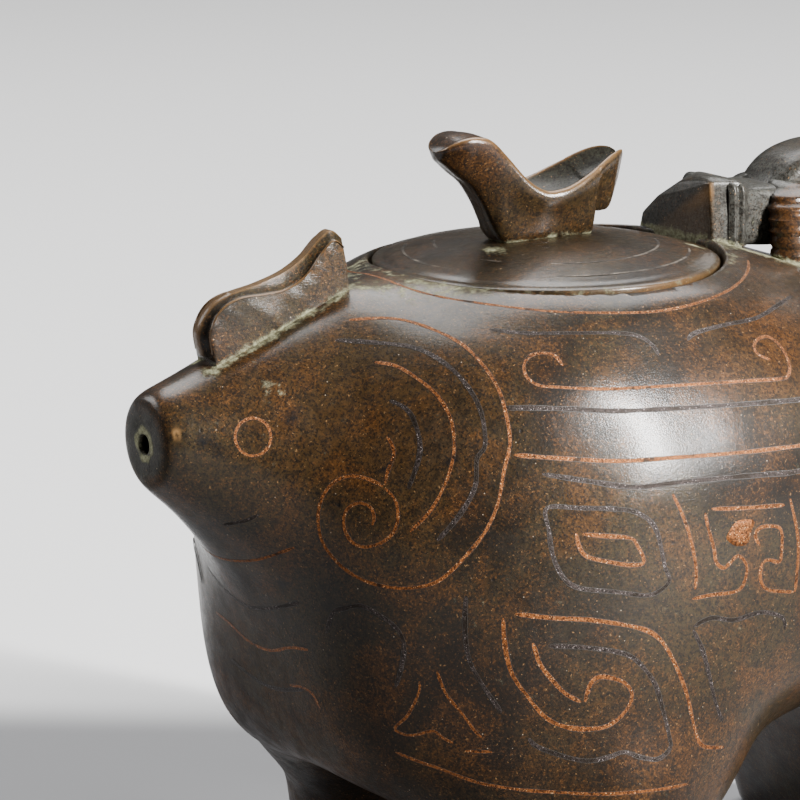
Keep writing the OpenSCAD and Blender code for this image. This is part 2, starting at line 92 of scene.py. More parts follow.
# Shape of the casting, in millimetres: soft solids melted together, as a wax model is.
# Eggs are centre, half sizes, power and scale; cones are both ends and the radius at each.
vessel = {
    "rimZ": 70.0,
    "wall": 2.6,
    "ledge": 2.2,
    "noseX": -48.2,
    "spoutZ": 56.5,
    "spoutD": 2.1,
    "spoutDepth": 16,
    "seatR": 18.3,
    "seatDepth": 1.2,
    "seatEdge": [(0, -0.55), (0.06, -0.3), (0.2, -0.1), (0.42, 0.03), (1.0, 0.8), (1.0, 5.0)],
    "mouthR": 15.7,
    "mouthDepth": 12,
    "belly": ((5.8, 0, 45), (40.2, 29.5, 25.5), 2.5, 27),
    "shoulder": ((-2, 0, 55), (27, 23.5, 15.2), 2.7, 16),
    "breast": ((-12.0, 0, 37.5), (21.8, 20.5, 19.2), 3.6, 18),
    "neckRing": ((0, 0, 62.4), 20.7, 7, 4),
    "head": ((-23, 0, 50), (-45.6, 0, 56.5), 16, 4.2),
    "brow": ((-24, 0, 60.2), (-44.4, 0, 57.3), 9.4, 4.3),
    "thigh": ((-7, 17.5, 29), (18, 11.5, 20), 2.2, 14),
    "shank": ((-8, 19, 22), (-10, 20.5, 4), 11, 7),
    "tailRoot": (32.0, 38.0),
    "tailFoot": (46.0, -4.0),
    "tailThickness": (9, 6),
    "tailHalfWidth": (17, 5),
    "torsoBlend": 1.6,
    "blend": 2.8,
    "shankBlend": 1.1,
    "noseEdge": 0.34,
    "soleEdge": 0.35,
    "unevenness": 0.09,
    "skinCell": 0.8,
    "cavityCell": 2.0,
    "fineBefore": -44.5,
    "fineCuts": 3,
}
seatZ = vessel["rimZ"] - vessel["seatDepth"]


def within(values):
    return np.clip(values, 0, 1)


def egg(p, centre, half, n, scale):
    q = np.abs((p - np.array(centre, float)) / np.array(half, float)) ** n
    return scale * (q.sum(-1) ** (1.0 / n) - 1.0)


def roundCone(p, a, b, r1, r2):
    a, b = np.array(a, float), np.array(b, float)
    axis = b - a
    l2, dr = axis @ axis, r1 - r2
    a2 = l2 - dr * dr
    y = (p - a) @ axis
    z = y - l2
    x2 = (((p - a) * l2 - axis * y[..., None]) ** 2).sum(-1)
    k = math.copysign(dr * dr, dr) * x2
    out = (np.sqrt(x2 * a2 / l2) + y * dr) / l2 - r1
    out = np.where(np.sign(y) * a2 * y * y * l2 < k, np.sqrt(x2 + y * y * l2) / l2 - r1, out)
    return np.where(np.sign(z) * a2 * z * z * l2 > k, np.sqrt(x2 + z * z * l2) / l2 - r2, out)


def puck(p, centre, r, halfH, edge):
    out = np.hypot(p[..., 0] - centre[0], p[..., 1] - centre[1]) - r + edge
    rise = np.abs(p[..., 2] - centre[2]) - halfH + edge
    return np.minimum(np.maximum(out, rise), 0) + np.hypot(np.maximum(out, 0), np.maximum(rise, 0)) - edge


def melt(fields, k):
    v = np.stack(fields)
    low = v.min(0)
    return low - k * np.log(np.exp((low - v) / k).sum(0))


def torso(q):
    eggs = [egg(q, *vessel[part]) for part in ("belly", "shoulder", "breast")]
    cones = [roundCone(q, *vessel[part]) for part in ("head", "brow")]
    return melt([*eggs, puck(q, *vessel["neckRing"]), *cones], vessel["torsoBlend"])


def tailFan(q):
    root, foot = np.array(vessel["tailRoot"]), np.array(vessel["tailFoot"])
    (thick, thinning), (wide, widening) = vessel["tailThickness"], vessel["tailHalfWidth"]
    axis = foot - root
    xz = q[..., [0, 2]] - root
    t = within(xz @ axis / (axis @ axis))
    off = np.linalg.norm(xz - t[..., None] * axis, axis=-1)
    half = thick - thinning * t
    side = np.maximum(q[..., 1] - (wide + widening * t - half), 0)
    return np.hypot(off, side) - half


def folded(p):
    q = np.array(p, float)
    q[..., 1] = np.abs(q[..., 1])
    return q


def hide(p):
    q = folded(p)
    upper = melt([torso(q), egg(q, *vessel["thigh"]), tailFan(q)], vessel["blend"])
    return melt([upper, roundCone(q, *vessel["shank"])], vessel["shankBlend"])


def waves(p, size, seed, count=9):
    rng = np.random.default_rng(seed)
    k = rng.normal(size=(count, 3)) / size
    phase = rng.uniform(0, 2 * math.pi, count)
    return np.sin(p @ k.T + phase).sum(-1) / math.sqrt(count)


def softCut(v, other, k):
    high = np.maximum(v, other)
    return high + k * np.log(np.exp((v - high) / k) + np.exp((other - high) / k))


def skin(p):
    rough = vessel["unevenness"] * (0.7 * waves(p, 7.0, 3) + 0.3 * waves(p, 2.6, 5))
    v = softCut(hide(p) - rough, vessel["noseX"] - p[..., 0], vessel["noseEdge"])
    return softCut(v, 0.0 - p[..., 2], vessel["soleEdge"])


def cavity(p):
    return np.maximum(torso(folded(p)) + vessel["wall"], p[..., 2] - (seatZ - vessel["ledge"]))


def slopeOf(field, p, e=0.05):
    return np.stack([(field(p + d) - field(p - d)) / (2 * e) for d in np.eye(3) * e], -1)


def settle(field, p, steps=3):
    for _ in range(steps):
        g = slopeOf(field, p)
        p = p - g * (field(p) / np.maximum((g * g).sum(-1), 1e-6))[..., None]
    return p


def normalAt(p):
    g = slopeOf(skin, p)
    return g / np.linalg.norm(g, axis=-1, keepdims=True)


def netOf(field, low, high, cell):
    # One point in each grid cell that the surface crosses, and a four-sided face round each crossed edge.
    low = np.array(low, float)
    n = [int(math.ceil((high[i] - low[i]) / cell)) + 1 for i in range(3)]
    axes = [low[i] + cell * np.arange(n[i]) for i in range(3)]
    v = np.concatenate([
        field(np.stack(np.meshgrid(axes[0][s:s + 16], axes[1], axes[2], indexing="ij"), -1))
        for s in range(0, n[0], 16)])
    inside = v < 0
    c = [k - 1 for k in n]
    total, count = np.zeros(c + [3]), np.zeros(c, int)

    def part(values, o):
        return values[o[0]:o[0] + c[0], o[1]:o[1] + c[1], o[2]:o[2] + c[2]]

    for p in [(a, b, d) for a in (0, 1) for b in (0, 1) for d in (0, 1)]:
        for axis in range(3):
            if p[axis]:
                continue
            q = list(p)
            q[axis] = 1
            va, vb = part(v, p), part(v, q)
            hit = (va < 0) != (vb < 0)
            t = np.where(hit, va / np.where(hit, va - vb, 1.0), 0)
            for k in range(3):
                total[..., k] += np.where(hit, p[k] + (t if k == axis else 0), 0)
            count += hit
    used = count > 0
    index = np.full(c, -1)
    index[used] = np.arange(used.sum())
    points = low + cell * (np.argwhere(used) + total[used] / count[used][:, None])
    faces = []
    for axis in range(3):
        a, b = (axis + 1) % 3, (axis + 2) % 3
        lo, idx = np.transpose(inside, (axis, a, b)), np.transpose(index, (axis, a, b))
        i, j, k = np.argwhere(lo[:-1, 1:-1, 1:-1] != lo[1:, 1:-1, 1:-1]).T
        j, k = j + 1, k + 1
        quad = np.stack([idx[i, j - 1, k - 1], idx[i, j, k - 1], idx[i, j, k], idx[i, j - 1, k]], -1)
        faces.append(np.where(lo[i, j, k][:, None], quad, quad[:, ::-1]))
    return settle(field, points, 2), np.concatenate(faces)


def meshPiece(name, points, faces, smooth=True):
    mesh = bpy.data.meshes.new(name)
    mesh.from_pydata((np.asarray(points) * mm).tolist(), [], [list(map(int, f)) for f in faces])
    mesh.polygons.foreach_set("use_smooth", [smooth] * len(mesh.polygons))
    mesh.update()
    return placed(name, mesh)


def baked(piece):
    # Turns live modifiers into plain mesh and takes them off.
    graph = bpy.context.evaluated_depsgraph_get()
    mesh = bpy.data.meshes.new_from_object(piece.evaluated_get(graph), depsgraph=graph)
    piece.modifiers.clear()
    piece.data = mesh
    return piece


def pointsOf(piece):
    co = np.empty(len(piece.data.vertices) * 3)
    piece.data.vertices.foreach_get("co", co)
    return co.reshape(-1, 3) / mm


def paint(piece, **layers):
    # Values for each point, which the materials read.
    for name, values in layers.items():
        layer = piece.data.attributes.new(name, "FLOAT", "POINT")
        layer.data.foreach_set("value", np.asarray(values, np.float32))


def stacked(rings, caps=True):
    # Faces of a tube through rings with equal point counts, closed by fans at its ends.
    rings = np.asarray(rings, float)
    m, n = rings.shape[:2]
    points = list(rings.reshape(-1, 3))
    faces = [(k * n + i, k * n + (i + 1) % n, (k + 1) * n + (i + 1) % n, (k + 1) * n + i)
             for k in range(m - 1) for i in range(n)]
    if caps:
        points += [rings[0].mean(0), rings[-1].mean(0)]
        faces += [((i + 1) % n, i, m * n) for i in range(n)]
        faces += [((m - 1) * n + i, (m - 1) * n + (i + 1) % n, m * n + 1) for i in range(n)]
    return np.array(points), faces


def outward(piece, join=True):
    # Without the join the points keep their order.
    work = bmesh.new()
    work.from_mesh(piece.data)
    if join:
        bmesh.ops.remove_doubles(work, verts=work.verts, dist=1e-7)
    bmesh.ops.recalc_face_normals(work, faces=work.faces)
    work.to_mesh(piece.data)
    work.free()
    return piece


def keepSharp(piece, degrees=38):
    piece.data.set_sharp_from_angle(angle=math.radians(degrees))
    return piece


def through(points, steps, closed=False):
    # Smooth line through given points.
    p = np.asarray(points, float)
    last = len(p) - 1
    out = []
    for i in range(len(p) if closed else last):
        if closed:
            a, b, c, d = (p[(i + k) % len(p)] for k in (-1, 0, 1, 2))
        else:
            a, b, c, d = p[max(i - 1, 0)], p[i], p[i + 1], p[min(i + 2, last)]
        for s in range(steps):
            t = s / steps
            square, cube = 2 * a - 5 * b + 4 * c - d, 3 * b - a - 3 * c + d
            out.append((2 * b + t * (c - a) + t * t * square + t ** 3 * cube) / 2)
    if not closed:
        out.append(p[-1])
    return np.array(out)


def evenly(line, step):
    length = np.concatenate([[0], np.cumsum(np.linalg.norm(np.diff(line, axis=0), axis=1))])
    n = max(3, int(round(length[-1] / step)))
    at = np.linspace(0, length[-1], n + 1)
    return np.stack([np.interp(at, length, line[:, k]) for k in range(line.shape[1])], -1)


def cutBy(piece, cutter):
    step = piece.modifiers.new("cut", "BOOLEAN")
    step.operation, step.object, step.solver = "DIFFERENCE", cutter, "MANIFOLD"
    baked(piece)
    bpy.data.objects.remove(cutter)


def roundTurn(count):
    return np.linspace(0, 2 * math.pi, count, endpoint=False)


def hoop(r, z, count):
    a = roundTurn(count)
    return np.stack([r * np.cos(a), r * np.sin(a), z + np.zeros(count)], -1)


def turned(name, profile, steps=180):
    # Solid of revolution about +Z from [radius, height] points whose first and last lie on the axis.
    inner = np.array(profile[1:-1], float)
    points, faces = stacked([hoop(r, z, steps) for r, z in inner], False)
    points = np.vstack([points, [[0, 0, profile[0][1]], [0, 0, profile[-1][1]]]])
    base, last = len(points) - 2, (len(inner) - 1) * steps
    faces += [((i + 1) % steps, i, base) for i in range(steps)]
    faces += [(last + i, last + (i + 1) % steps, base + 1) for i in range(steps)]
    return outward(meshPiece(name, points, faces))


# Materials
board = {}  # the node tree that is being wired


def nodeTree(name):
    material = bpy.data.materials.new(name)
    material.use_nodes = True
    tree = board["tree"] = material.node_tree
    tree.nodes.clear()
    shader = tree.nodes.new("ShaderNodeBsdfPrincipled")
    out = tree.nodes.new("ShaderNodeOutputMaterial")
    tree.links.new(shader.outputs[0], out.inputs[0])
    return material, shader.inputs


def feed(socket, value):
    if isinstance(value, bpy.types.NodeSocket):
        board["tree"].links.new(value, socket)
    elif socket.type == "RGBA":
        socket.default_value = (*value, 1.0)
    else:
        socket.default_value = value


def added(kind, given, out=0, **traits):
    node = board["tree"].nodes.new("ShaderNode" + kind)
    for key, value in traits.items():
        setattr(node, key, value)
    for key, value in given.items():
        feed(node.inputs[key], value)
    return node.outputs[out]


def objectPlace():
    return added("TexCoord", {}, "Object")


def cloud(place, size, detail=4.0, rough=0.55, twist=0.0):
    return added("TexNoise", {"Vector": place, "Scale": 1.0 / (size * mm), "Detail": detail, "Roughness": rough,
                              "Distortion": twist}, "Fac")


def dots(place, size):
    return added("TexVoronoi", {"Vector": place, "Scale": 1.0 / (size * mm)}, "Distance")


def ranged(value, low, high, toLow=0.0, toHigh=1.0, way="SMOOTHSTEP"):
    given = {"Value": value, "From Min": low, "From Max": high, "To Min": toLow, "To Max": toHigh}
    return added("MapRange", given, "Result", interpolation_type=way)


def maths(kind, a, b):
    return added("Math", {0: a, 1: b}, operation=kind)


def times(a, b):
    return maths("MULTIPLY", a, b)


def leftOf(share):
    return maths("SUBTRACT", 1.0, share)


def blended(share, a, b):
    return added("Mix", {"Factor": share, "A": a, "B": b}, "Result", data_type="RGBA")


def painted(name):
    return added("Attribute", {}, "Fac", attribute_name=name)


def bumped(socket, layers):
    under = {}
    for height, strength, distance in layers:
        given = {"Height": height, "Strength": strength, "Distance": distance * mm}
        under = {"Normal": added("Bump", {**given, **under})}
    feed(socket, under["Normal"])


bronze = {
    "dark": (0.0065, 0.005, 0.0036),
    "olive": (0.026, 0.0185, 0.0076),
    "warm": (0.062, 0.0245, 0.006),
    "worn": (0.24, 0.13, 0.05),
    "bare": (0.42, 0.34, 0.25),
    "grey": (0.015, 0.0145, 0.0135),
    "pit": (0.005, 0.0045, 0.0045),
    "verdigris": (0.27, 0.27, 0.17),
    "oldVerdigris": (0.11, 0.105, 0.062),
    "ash": (0.019, 0.0195, 0.0145),
    "rust": (0.115, 0.048, 0.013),
    "metallic": 0.3,
    "roughness": 0.46,
    "specular": 0.1,
    "wax": 0.5,
    "waxRoughness": 0.18,
    "grainSize": 0.26,
}


def bronzeMaterial(name, warmth=0.5, greyness=0.3, pitting=1.0, ash=bronze["ash"]):
    material, shader = nodeTree(name)
    place = objectPlace()
    patch = cloud(place, 7, 5, 0.6, 0.8)
    grain = cloud(place, 0.8, 6, 0.7)
    fine = cloud(place, bronze["grainSize"], 3, 0.7)
    warm = maths("ADD", times(ranged(patch, 0.42, 0.7), warmth), painted("warm"))
    rust = times(ranged(cloud(place, 0.3, 4, 0.75), 0.52, 0.62), ranged(patch, 0.3, 0.66, 0.12, 1.0))
    rust = times(rust, leftOf(painted("ash")))
    pit = times(ranged(dots(place, 1.7), 0.05, 0.16, 1.0, 0.0), ranged(cloud(place, 3.0, 3), 0.55, 0.68))
    ragged = ranged(cloud(place, 1.1, 6, 0.72), 0.3, 0.75, -0.6, 0.4, "LINEAR")
    crust = ranged(maths("ADD", painted("verdigris"), ragged), 0.12, 0.78)
    crustColour = blended(ranged(cloud(place, 0.4, 5, 0.7), 0.35, 0.65), bronze["oldVerdigris"], bronze["verdigris"])
    colour = blended(ranged(cloud(place, 22, 3, 0.5, 0.6), 0.38, 0.62), bronze["dark"], bronze["olive"])
    layers = [
        (warm, bronze["warm"]),
        (times(ranged(cloud(place, 15, 4, 0.6, 0.4), 0.5, 0.75), greyness), bronze["grey"]),
        # Grey where the pieces mark it: the nose's ashy face, the handle's grey, and painted shade inside the finial's
        # hollow
        (painted("ash"), ash),
        # Fine grain: dark grains all over, orange ones where the brown is warm, and a few bright dots that are painted
        # glints
        (ranged(grain, 0.4, 0.66, 0.0, 0.7), bronze["dark"]),
        (times(rust, 0.6), bronze["rust"]),
        (ranged(fine, 0.5, 0.6, 0.0, 0.86), bronze["dark"]),
        (ranged(cloud(place, 0.28, 3, 0.6), 0.64, 0.74, 0.0, 0.7), bronze["worn"]),
        (ranged(dots(place, 1.6), 0.02, 0.05, 0.7, 0.0), bronze["bare"]),
        (times(pit, 0.85), bronze["pit"]),
        (painted("stain"), bronze["pit"]),
        # Rubbed places, and painted highlights on edges and facets, in the worn brown
        (painted("polish"), bronze["worn"]),
        (times(crust, 0.92), crustColour)]
    for share, tint in layers:
        colour = blended(share, colour, tint)
    feed(shader["Base Color"], colour)
    low, high = bronze["roughness"] - 0.08, bronze["roughness"] + 0.14
    rough = ranged(cloud(place, 2.2, 5, 0.65), 0.3, 0.75, low, high)
    feed(shader["Roughness"], maths("ADD", rough, times(crust, 0.35)))
    feed(shader["Metallic"], times(leftOf(crust), bronze["metallic"]))
    feed(shader["Specular IOR Level"], bronze["specular"])
    waxed = times(leftOf(times(painted("dull"), 0.85)), leftOf(crust))
    feed(shader["Coat Weight"], times(waxed, bronze["wax"]))
    feed(shader["Coat Roughness"], bronze["waxRoughness"])
    drawn = added("Mapping", {"Vector": place, "Scale": (1.0, 1.0, 7.0), "Rotation": (0.4, 0.3, 0.2)})
    scratch = cloud(drawn, 0.7, 3, 0.6)
    bumped(shader["Normal"], [
        (patch, 0.25, 0.25 * pitting),
        (grain, 0.4, 0.12 * pitting),
        (fine, 0.5, 0.05 * pitting),
        (scratch, 0.25, 0.05 * pitting),
        (times(pit, -1.0), 0.5, 0.08 * pitting),
        (crust, 0.5, 0.12)])
    bumped(shader["Coat Normal"], [
        (grain, 0.2, 0.03 * pitting),
        (cloud(place, 0.17, 2, 0.6), 0.55, 0.026),
        (scratch, 0.15, 0.03 * pitting)])
    return material


def inlayMaterial(name, metalColour, tarnish, gone, sparkle, metallic=0.6):
    material, shader = nodeTree(name)
    place = objectPlace()
    wear = cloud(place, 2.6, 5, 0.7, 0.3)
    fine = cloud(place, 0.24, 4, 0.7)
    colour = blended(ranged(fine, 0.38, 0.62), tarnish, metalColour)
    colour = blended(ranged(cloud(place, 0.15, 2, 0.5), 0.63, 0.71, 0.0, 0.8), colour, sparkle)
    colour = blended(ranged(wear, gone, gone + 0.08, 0.0, 0.92), colour, (0.013, 0.0095, 0.007))
    feed(shader["Base Color"], colour)
    feed(shader["Metallic"], metallic)
    feed(shader["Specular IOR Level"], 0.15)
    feed(shader["Roughness"], ranged(fine, 0.3, 0.7, 0.3, 0.55))
    bumped(shader["Normal"], [(fine, 0.8, 0.1), (wear, 0.3, 0.1)])
    return material


# The dark ribbon round each wire is painted shadow in the wire's groove.
def grooveMaterial():
    material, shader = nodeTree("grooveShadow")
    place = objectPlace()
    feed(shader["Base Color"], blended(cloud(place, 0.6, 4), (0.006, 0.005, 0.004), (0.022, 0.017, 0.012)))
    feed(shader["Roughness"], 0.55)
    bumped(shader["Normal"], [(cloud(place, 0.3, 3), 0.5, 0.06)])
    return material


bodyBronze = bronzeMaterial("waxedBronze", 0.55, 0.35)
lidBronze = bronzeMaterial("lidBronze", 0.3, 0.7, 1.5)
trimBronze = bronzeMaterial("castTrimBronze", 0.6, 0.3, 1.3, (0.055, 0.056, 0.05))
crestBronze = bronzeMaterial("crestBronze", 0.3, 0.5, 2.2)
finialBronze = bronzeMaterial("finialBronze", 0.45, 0.2, 0.8)
metals = {
    "copper": inlayMaterial("copperInlay", (0.195, 0.068, 0.019), (0.036, 0.014, 0.006), 0.57, (0.7, 0.4, 0.2)),
    "silver": inlayMaterial("silverInlay", (0.036, 0.027, 0.024), (0.011, 0.009, 0.008), 0.5, (0.32, 0.27, 0.26), 0.5),
    "paleSilver": inlayMaterial("paleInlay", (0.15, 0.125, 0.1), (0.05, 0.04, 0.03), 0.46, (0.4, 0.35, 0.28)),
}
groove = grooveMaterial()
print("materials made")


def fitted(piece, nodes, material=None, body="vessel"):
    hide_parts(*nodes.split())
    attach(piece, body)
    if material:
        piece.data.materials.clear()
        piece.data.materials.append(material)
    return piece


# Where a line drawn on the photograph's frame meets the skin
def placeFromPhoto(px):
    px = np.asarray(px, float)
    half = photoView["framePx"] / 2
    ray = ahead + ((px[:, :1] - half) * across - (px[:, 1:] - half) * above) / photoView["focalPx"]
    ray /= np.linalg.norm(ray, axis=1, keepdims=True)
    t = np.full(len(px), photoView["distance"] - 90.0)
    for _ in range(90):
        t += np.clip(skin(eye + ray * t[:, None]) * 0.7, -2, 12)
    return eye + ray * t[:, None]


def sunkBetween(outer, inner):
    # The skin's place on each line from an outer to an inner point
    outer, inner = np.array(outer, float), np.array(inner, float)
    for _ in range(18):
        middle = (outer + inner) / 2
        out = skin(middle) > 0
        outer, inner = np.where(out[:, None], middle, outer), np.where(out[:, None], inner, middle)
    return (outer + inner) / 2


# Depths in these lines count down from the rim.
def placeFromSide(line):
    return sunkBetween(*([(x, y, vessel["rimZ"] - d) for x, d in line] for y in (-60, 0)))


def placeFromTop(line):
    return sunkBetween(*([(x, y, z) for x, y in line] for z in (90, 55)))


def placeFromEnd(line, start, end):
    return sunkBetween(*([(x, y, vessel["rimZ"] - d) for y, d in line] for x in (start, end)))


# Vessel body
def seatCutter():
    # The seat's rim follows the skin's height, with a soft broken edge. Its top clears the dome of the skin.
    r, edge, count = vessel["seatR"], vessel["seatEdge"], 240
    top = placeFromTop(hoop(r + 0.35, 0, count)[:, :2])[:, 2]
    rings = [hoop(0.02, seatZ, count), hoop(r, seatZ, count)]
    rings += [hoop(r + wider, top + height, count) for wider, height in edge]
    rings.append(hoop(0.02, top + edge[-1][1], count))
    return outward(meshPiece("seatCutter", *stacked(rings)))


def refineSnout(piece):
    # Splits the snout's edges and settles their new points on the skin.
    work = bmesh.new()
    work.from_mesh(piece.data)
    edges = [e for e in work.edges if all(v.co.x / mm < vessel["fineBefore"] for v in e.verts)]
    old = len(work.verts)
    bmesh.ops.subdivide_edges(work, edges=edges, cuts=vessel["fineCuts"], use_grid_fill=True)
    work.verts.ensure_lookup_table()
    fresh = list(work.verts)[old:]
    for v, p in zip(fresh, settle(skin, np.array([v.co for v in fresh]) / mm, 4)):
        v.co = p * mm
    work.to_mesh(piece.data)
    work.free()


def makeBody():
    body = meshPiece("vesselBody", *netOf(skin, (-51, -34, -2), (52, 34, 75), vessel["skinCell"]))
    refineSnout(body)
    cutBy(body, meshPiece("hollow", *netOf(cavity, (-48, -30, 17), (48, 30, 70), vessel["cavityCell"])))
    cutBy(body, seatCutter())
    r, low, high = vessel["mouthR"], seatZ - vessel["mouthDepth"], seatZ + 2
    cutBy(body, turned("mouthCutter", [(0, low), (r, low), (r, high), (0, high)]))
    r, deep = vessel["spoutD"] / 2, vessel["spoutDepth"]
    bore = turned("boreCutter", [(0, 0), (r, 0), (r, deep), (0, deep)], 40)
    place = ((vessel["noseX"] - 1) * mm, 0, vessel["spoutZ"] * mm)
    bore.data.transform(Matrix([[0, 0, 1, place[0]], [0, 1, 0, 0], [-1, 0, 0, place[2]], [0, 0, 0, 1]]))
    cutBy(body, bore)
    return body


body = makeBody()
print("vessel body made", len(body.data.polygons))


def nearLine(points, line, reach):
    # 1 on the line, falling to 0 at that reach.
    line = np.array(line, float)
    best = np.full(len(points), 1e9)
    for a, b in zip(line[:-1], line[1:]):
        ab = b - a
        t = within((points - a) @ ab / max(ab @ ab, 1e-9))
        best = np.minimum(best, np.linalg.norm(points - a - t[:, None] * ab, axis=1))
    return within(1 - best / reach)


def around(points, centre, spread):
    # 1 at the centre, fading out over the spread.
    return np.exp(-(((points - centre) / spread) ** 2).sum(1))


verdigris = {
    "crestRoot": [(-41.6, -1.9, 63.6), (-38, -1.9, 65.2), (-34, -1.9, 66.6), (-30, -1.9, 68.2), (-27, -1.9, 69.4),
                  (-24.5, -1.2, 70.3)],
    "crestReach": 1.5,
    "crestHeel": [(-24, -2, 70), (-21, -5, 70), (-17.5, -9, 70)],
    "heelReach": 3.2,
    "rim": (19.2, 70.3),
    "rimReach": 1.5,
    "handleFoot": [(19.5, -5, 70.6), (22, -6, 70), (25.5, -8, 69), (29, -9.6, 67), (32, -8, 66.6)],
    "handleReach": 3.0,
    "lipR": 1.4,
    "faceR": 3.55,
}

# Spots of the casting seen from the front left: place in the frame, then radius in millimetres
marks = {
    "stains": [(204, 442, 0.75), (290, 416, 0.7), (301, 413, 0.4), (222, 452, 0.5), (310, 442, 0.35),
               (384, 470, 0.5), (348, 528, 0.5), (284, 585, 0.8), (326, 604, 0.7), (470, 448, 0.6),
               (452, 460, 0.7), (700, 398, 0.6)],
    "scars": [(268, 388, 1.0), (278, 393, 0.8), (378, 460, 0.5), (546, 476, 0.4)],
    "bareSpot": (176, 434),
}


def nearMark(points, mark):
    place = placeFromPhoto([mark[:2]])[0]
    away = np.linalg.norm(points - place, axis=1) / mark[2]
    return within(1.25 - away + 0.35 * waves(points, 0.35, 17))


def paintBody():
    p = pointsOf(body)
    q = folded(p)
    q[:, 1] = -q[:, 1]
    angles = np.linspace(0, 2 * math.pi, 97)
    r, z = verdigris["rim"]
    rim = np.stack([r * np.cos(angles), r * np.sin(angles), np.full(97, z)], -1)
    bearing = np.degrees(np.arctan2(p[:, 1], -p[:, 0]))
    leftShare = within(1 - np.abs(bearing + 18) / 55)
    rearShare = within(1 - np.abs(np.abs(bearing) - 175) / 70)
    off = np.hypot(p[:, 1], p[:, 2] - vessel["spoutZ"])
    front = p[:, 0] < vessel["noseX"] + 0.5
    lip = np.exp(-(((off - verdigris["lipR"]) / 0.5) ** 2)) * front * (0.95 + 0.25 * waves(p, 0.7, 21))
    green = [
        nearLine(q, verdigris["crestRoot"], verdigris["crestReach"]) * 0.9,
        nearLine(p, rim, verdigris["rimReach"]) * np.maximum(leftShare, rearShare) * 0.8,
        nearLine(q, verdigris["handleFoot"], verdigris["handleReach"]) * 0.95,
        nearLine(q, verdigris["crestHeel"], verdigris["heelReach"]) * 0.62,
        lip, *(nearMark(p, mark) * 0.55 for mark in marks["scars"])]
    warm = 0.45 * around(p, (-30, -14, 58), (12, 10, 8)) + 0.6 * around(p, (14, -22, 64), (10, 9, 5))
    belly = within((44 - p[:, 2]) / 14)
    spot = around(p, placeFromPhoto([marks["bareSpot"]])[0], 0.5) * within(0.5 + waves(p, 0.25, 4))
    face = within((verdigris["faceR"] + 0.15 * waves(p, 0.8, 8) - off) / 0.35) * front
    chest = around(p, (-30, -12, 30), (14, 13, 14))
    low = within((46 - p[:, 2]) / 22) * within((10 - p[:, 0]) / 22)
    snout = within((4.8 - off) / 0.6) * within((vessel["noseX"] + 1.6 - p[:, 0]) / 0.6)
    paint(body, verdigris=np.maximum.reduce(green), warm=warm + 0.1 * belly, polish=spot, ash=face * 0.85,
          stain=np.maximum.reduce([nearMark(p, mark) for mark in marks["stains"]]),
          dull=np.maximum.reduce([snout, chest, low]))


paintBody()
fitted(body, "body_shell leg_left leg_right fan_tail", bodyBronze)
body.name = "vesselBody"
print("vessel body painted")

# Inlaid wires. Lines seen in the photograph are named in its frame's pixels; the rest are drawn from the side.
wire = {
    "width": 0.4,
    "proud": 0.02,
    "sunk": 0.05,
    "grooveWidth": 0.48,
    "grooveProud": 0.012,
    "step": 0.33,
}


def wireTree():
    tree = bpy.data.node_groups.new("hammeredWire", "GeometryNodeTree")
    face = tree.interface
    face.new_socket("Geometry", in_out="INPUT", socket_type="NodeSocketGeometry")
    for key in ("Wire Width", "Wire Height", "Groove Width", "Groove Height"):
        face.new_socket(key, in_out="INPUT", socket_type="NodeSocketFloat")
    for key in ("Wire Material", "Groove Material"):
        face.new_socket(key, in_out="INPUT", socket_type="NodeSocketMaterial")
    face.new_socket("Geometry", in_out="OUTPUT", socket_type="NodeSocketGeometry")
    nodes, links = tree.nodes, tree.links
    given, out = nodes.new("NodeGroupInput"), nodes.new("NodeGroupOutput")

    def attribute(name, kind):
        node = nodes.new("GeometryNodeInputNamedAttribute")
        node.data_type = kind
        node.inputs["Name"].default_value = name
        return node.outputs["Attribute"]

    path, turn = nodes.new("GeometryNodeMeshToCurve"), nodes.new("GeometryNodeSetCurveNormal")
    turn.mode = "FREE"
    links.new(given.outputs["Geometry"], path.inputs[0])
    links.new(path.outputs[0], turn.inputs["Curve"])
    links.new(attribute("skinNormal", "FLOAT_VECTOR"), turn.inputs["Normal"])
    join = nodes.new("GeometryNodeJoinGeometry")
    for part in ("Groove", "Wire"):
        outline = nodes.new("GeometryNodeCurvePrimitiveQuadrilateral")
        links.new(given.outputs[part + " Height"], outline.inputs["Width"])
        links.new(given.outputs[part + " Width"], outline.inputs["Height"])
        sweep = nodes.new("GeometryNodeCurveToMesh")
        sweep.inputs["Fill Caps"].default_value = True
        links.new(turn.outputs[0], sweep.inputs["Curve"])
        links.new(outline.outputs[0], sweep.inputs["Profile Curve"])
        links.new(attribute("girth", "FLOAT"), sweep.inputs["Scale"])
        coat = nodes.new("GeometryNodeSetMaterial")
        links.new(sweep.outputs[0], coat.inputs["Geometry"])
        links.new(given.outputs[part + " Material"], coat.inputs["Material"])
        links.new(coat.outputs[0], join.inputs[0])
    real = nodes.new("GeometryNodeRealizeInstances")
    links.new(join.outputs[0], real.inputs[0])
    links.new(real.outputs[0], out.inputs[0])
    return tree


sweepTree = wireTree()


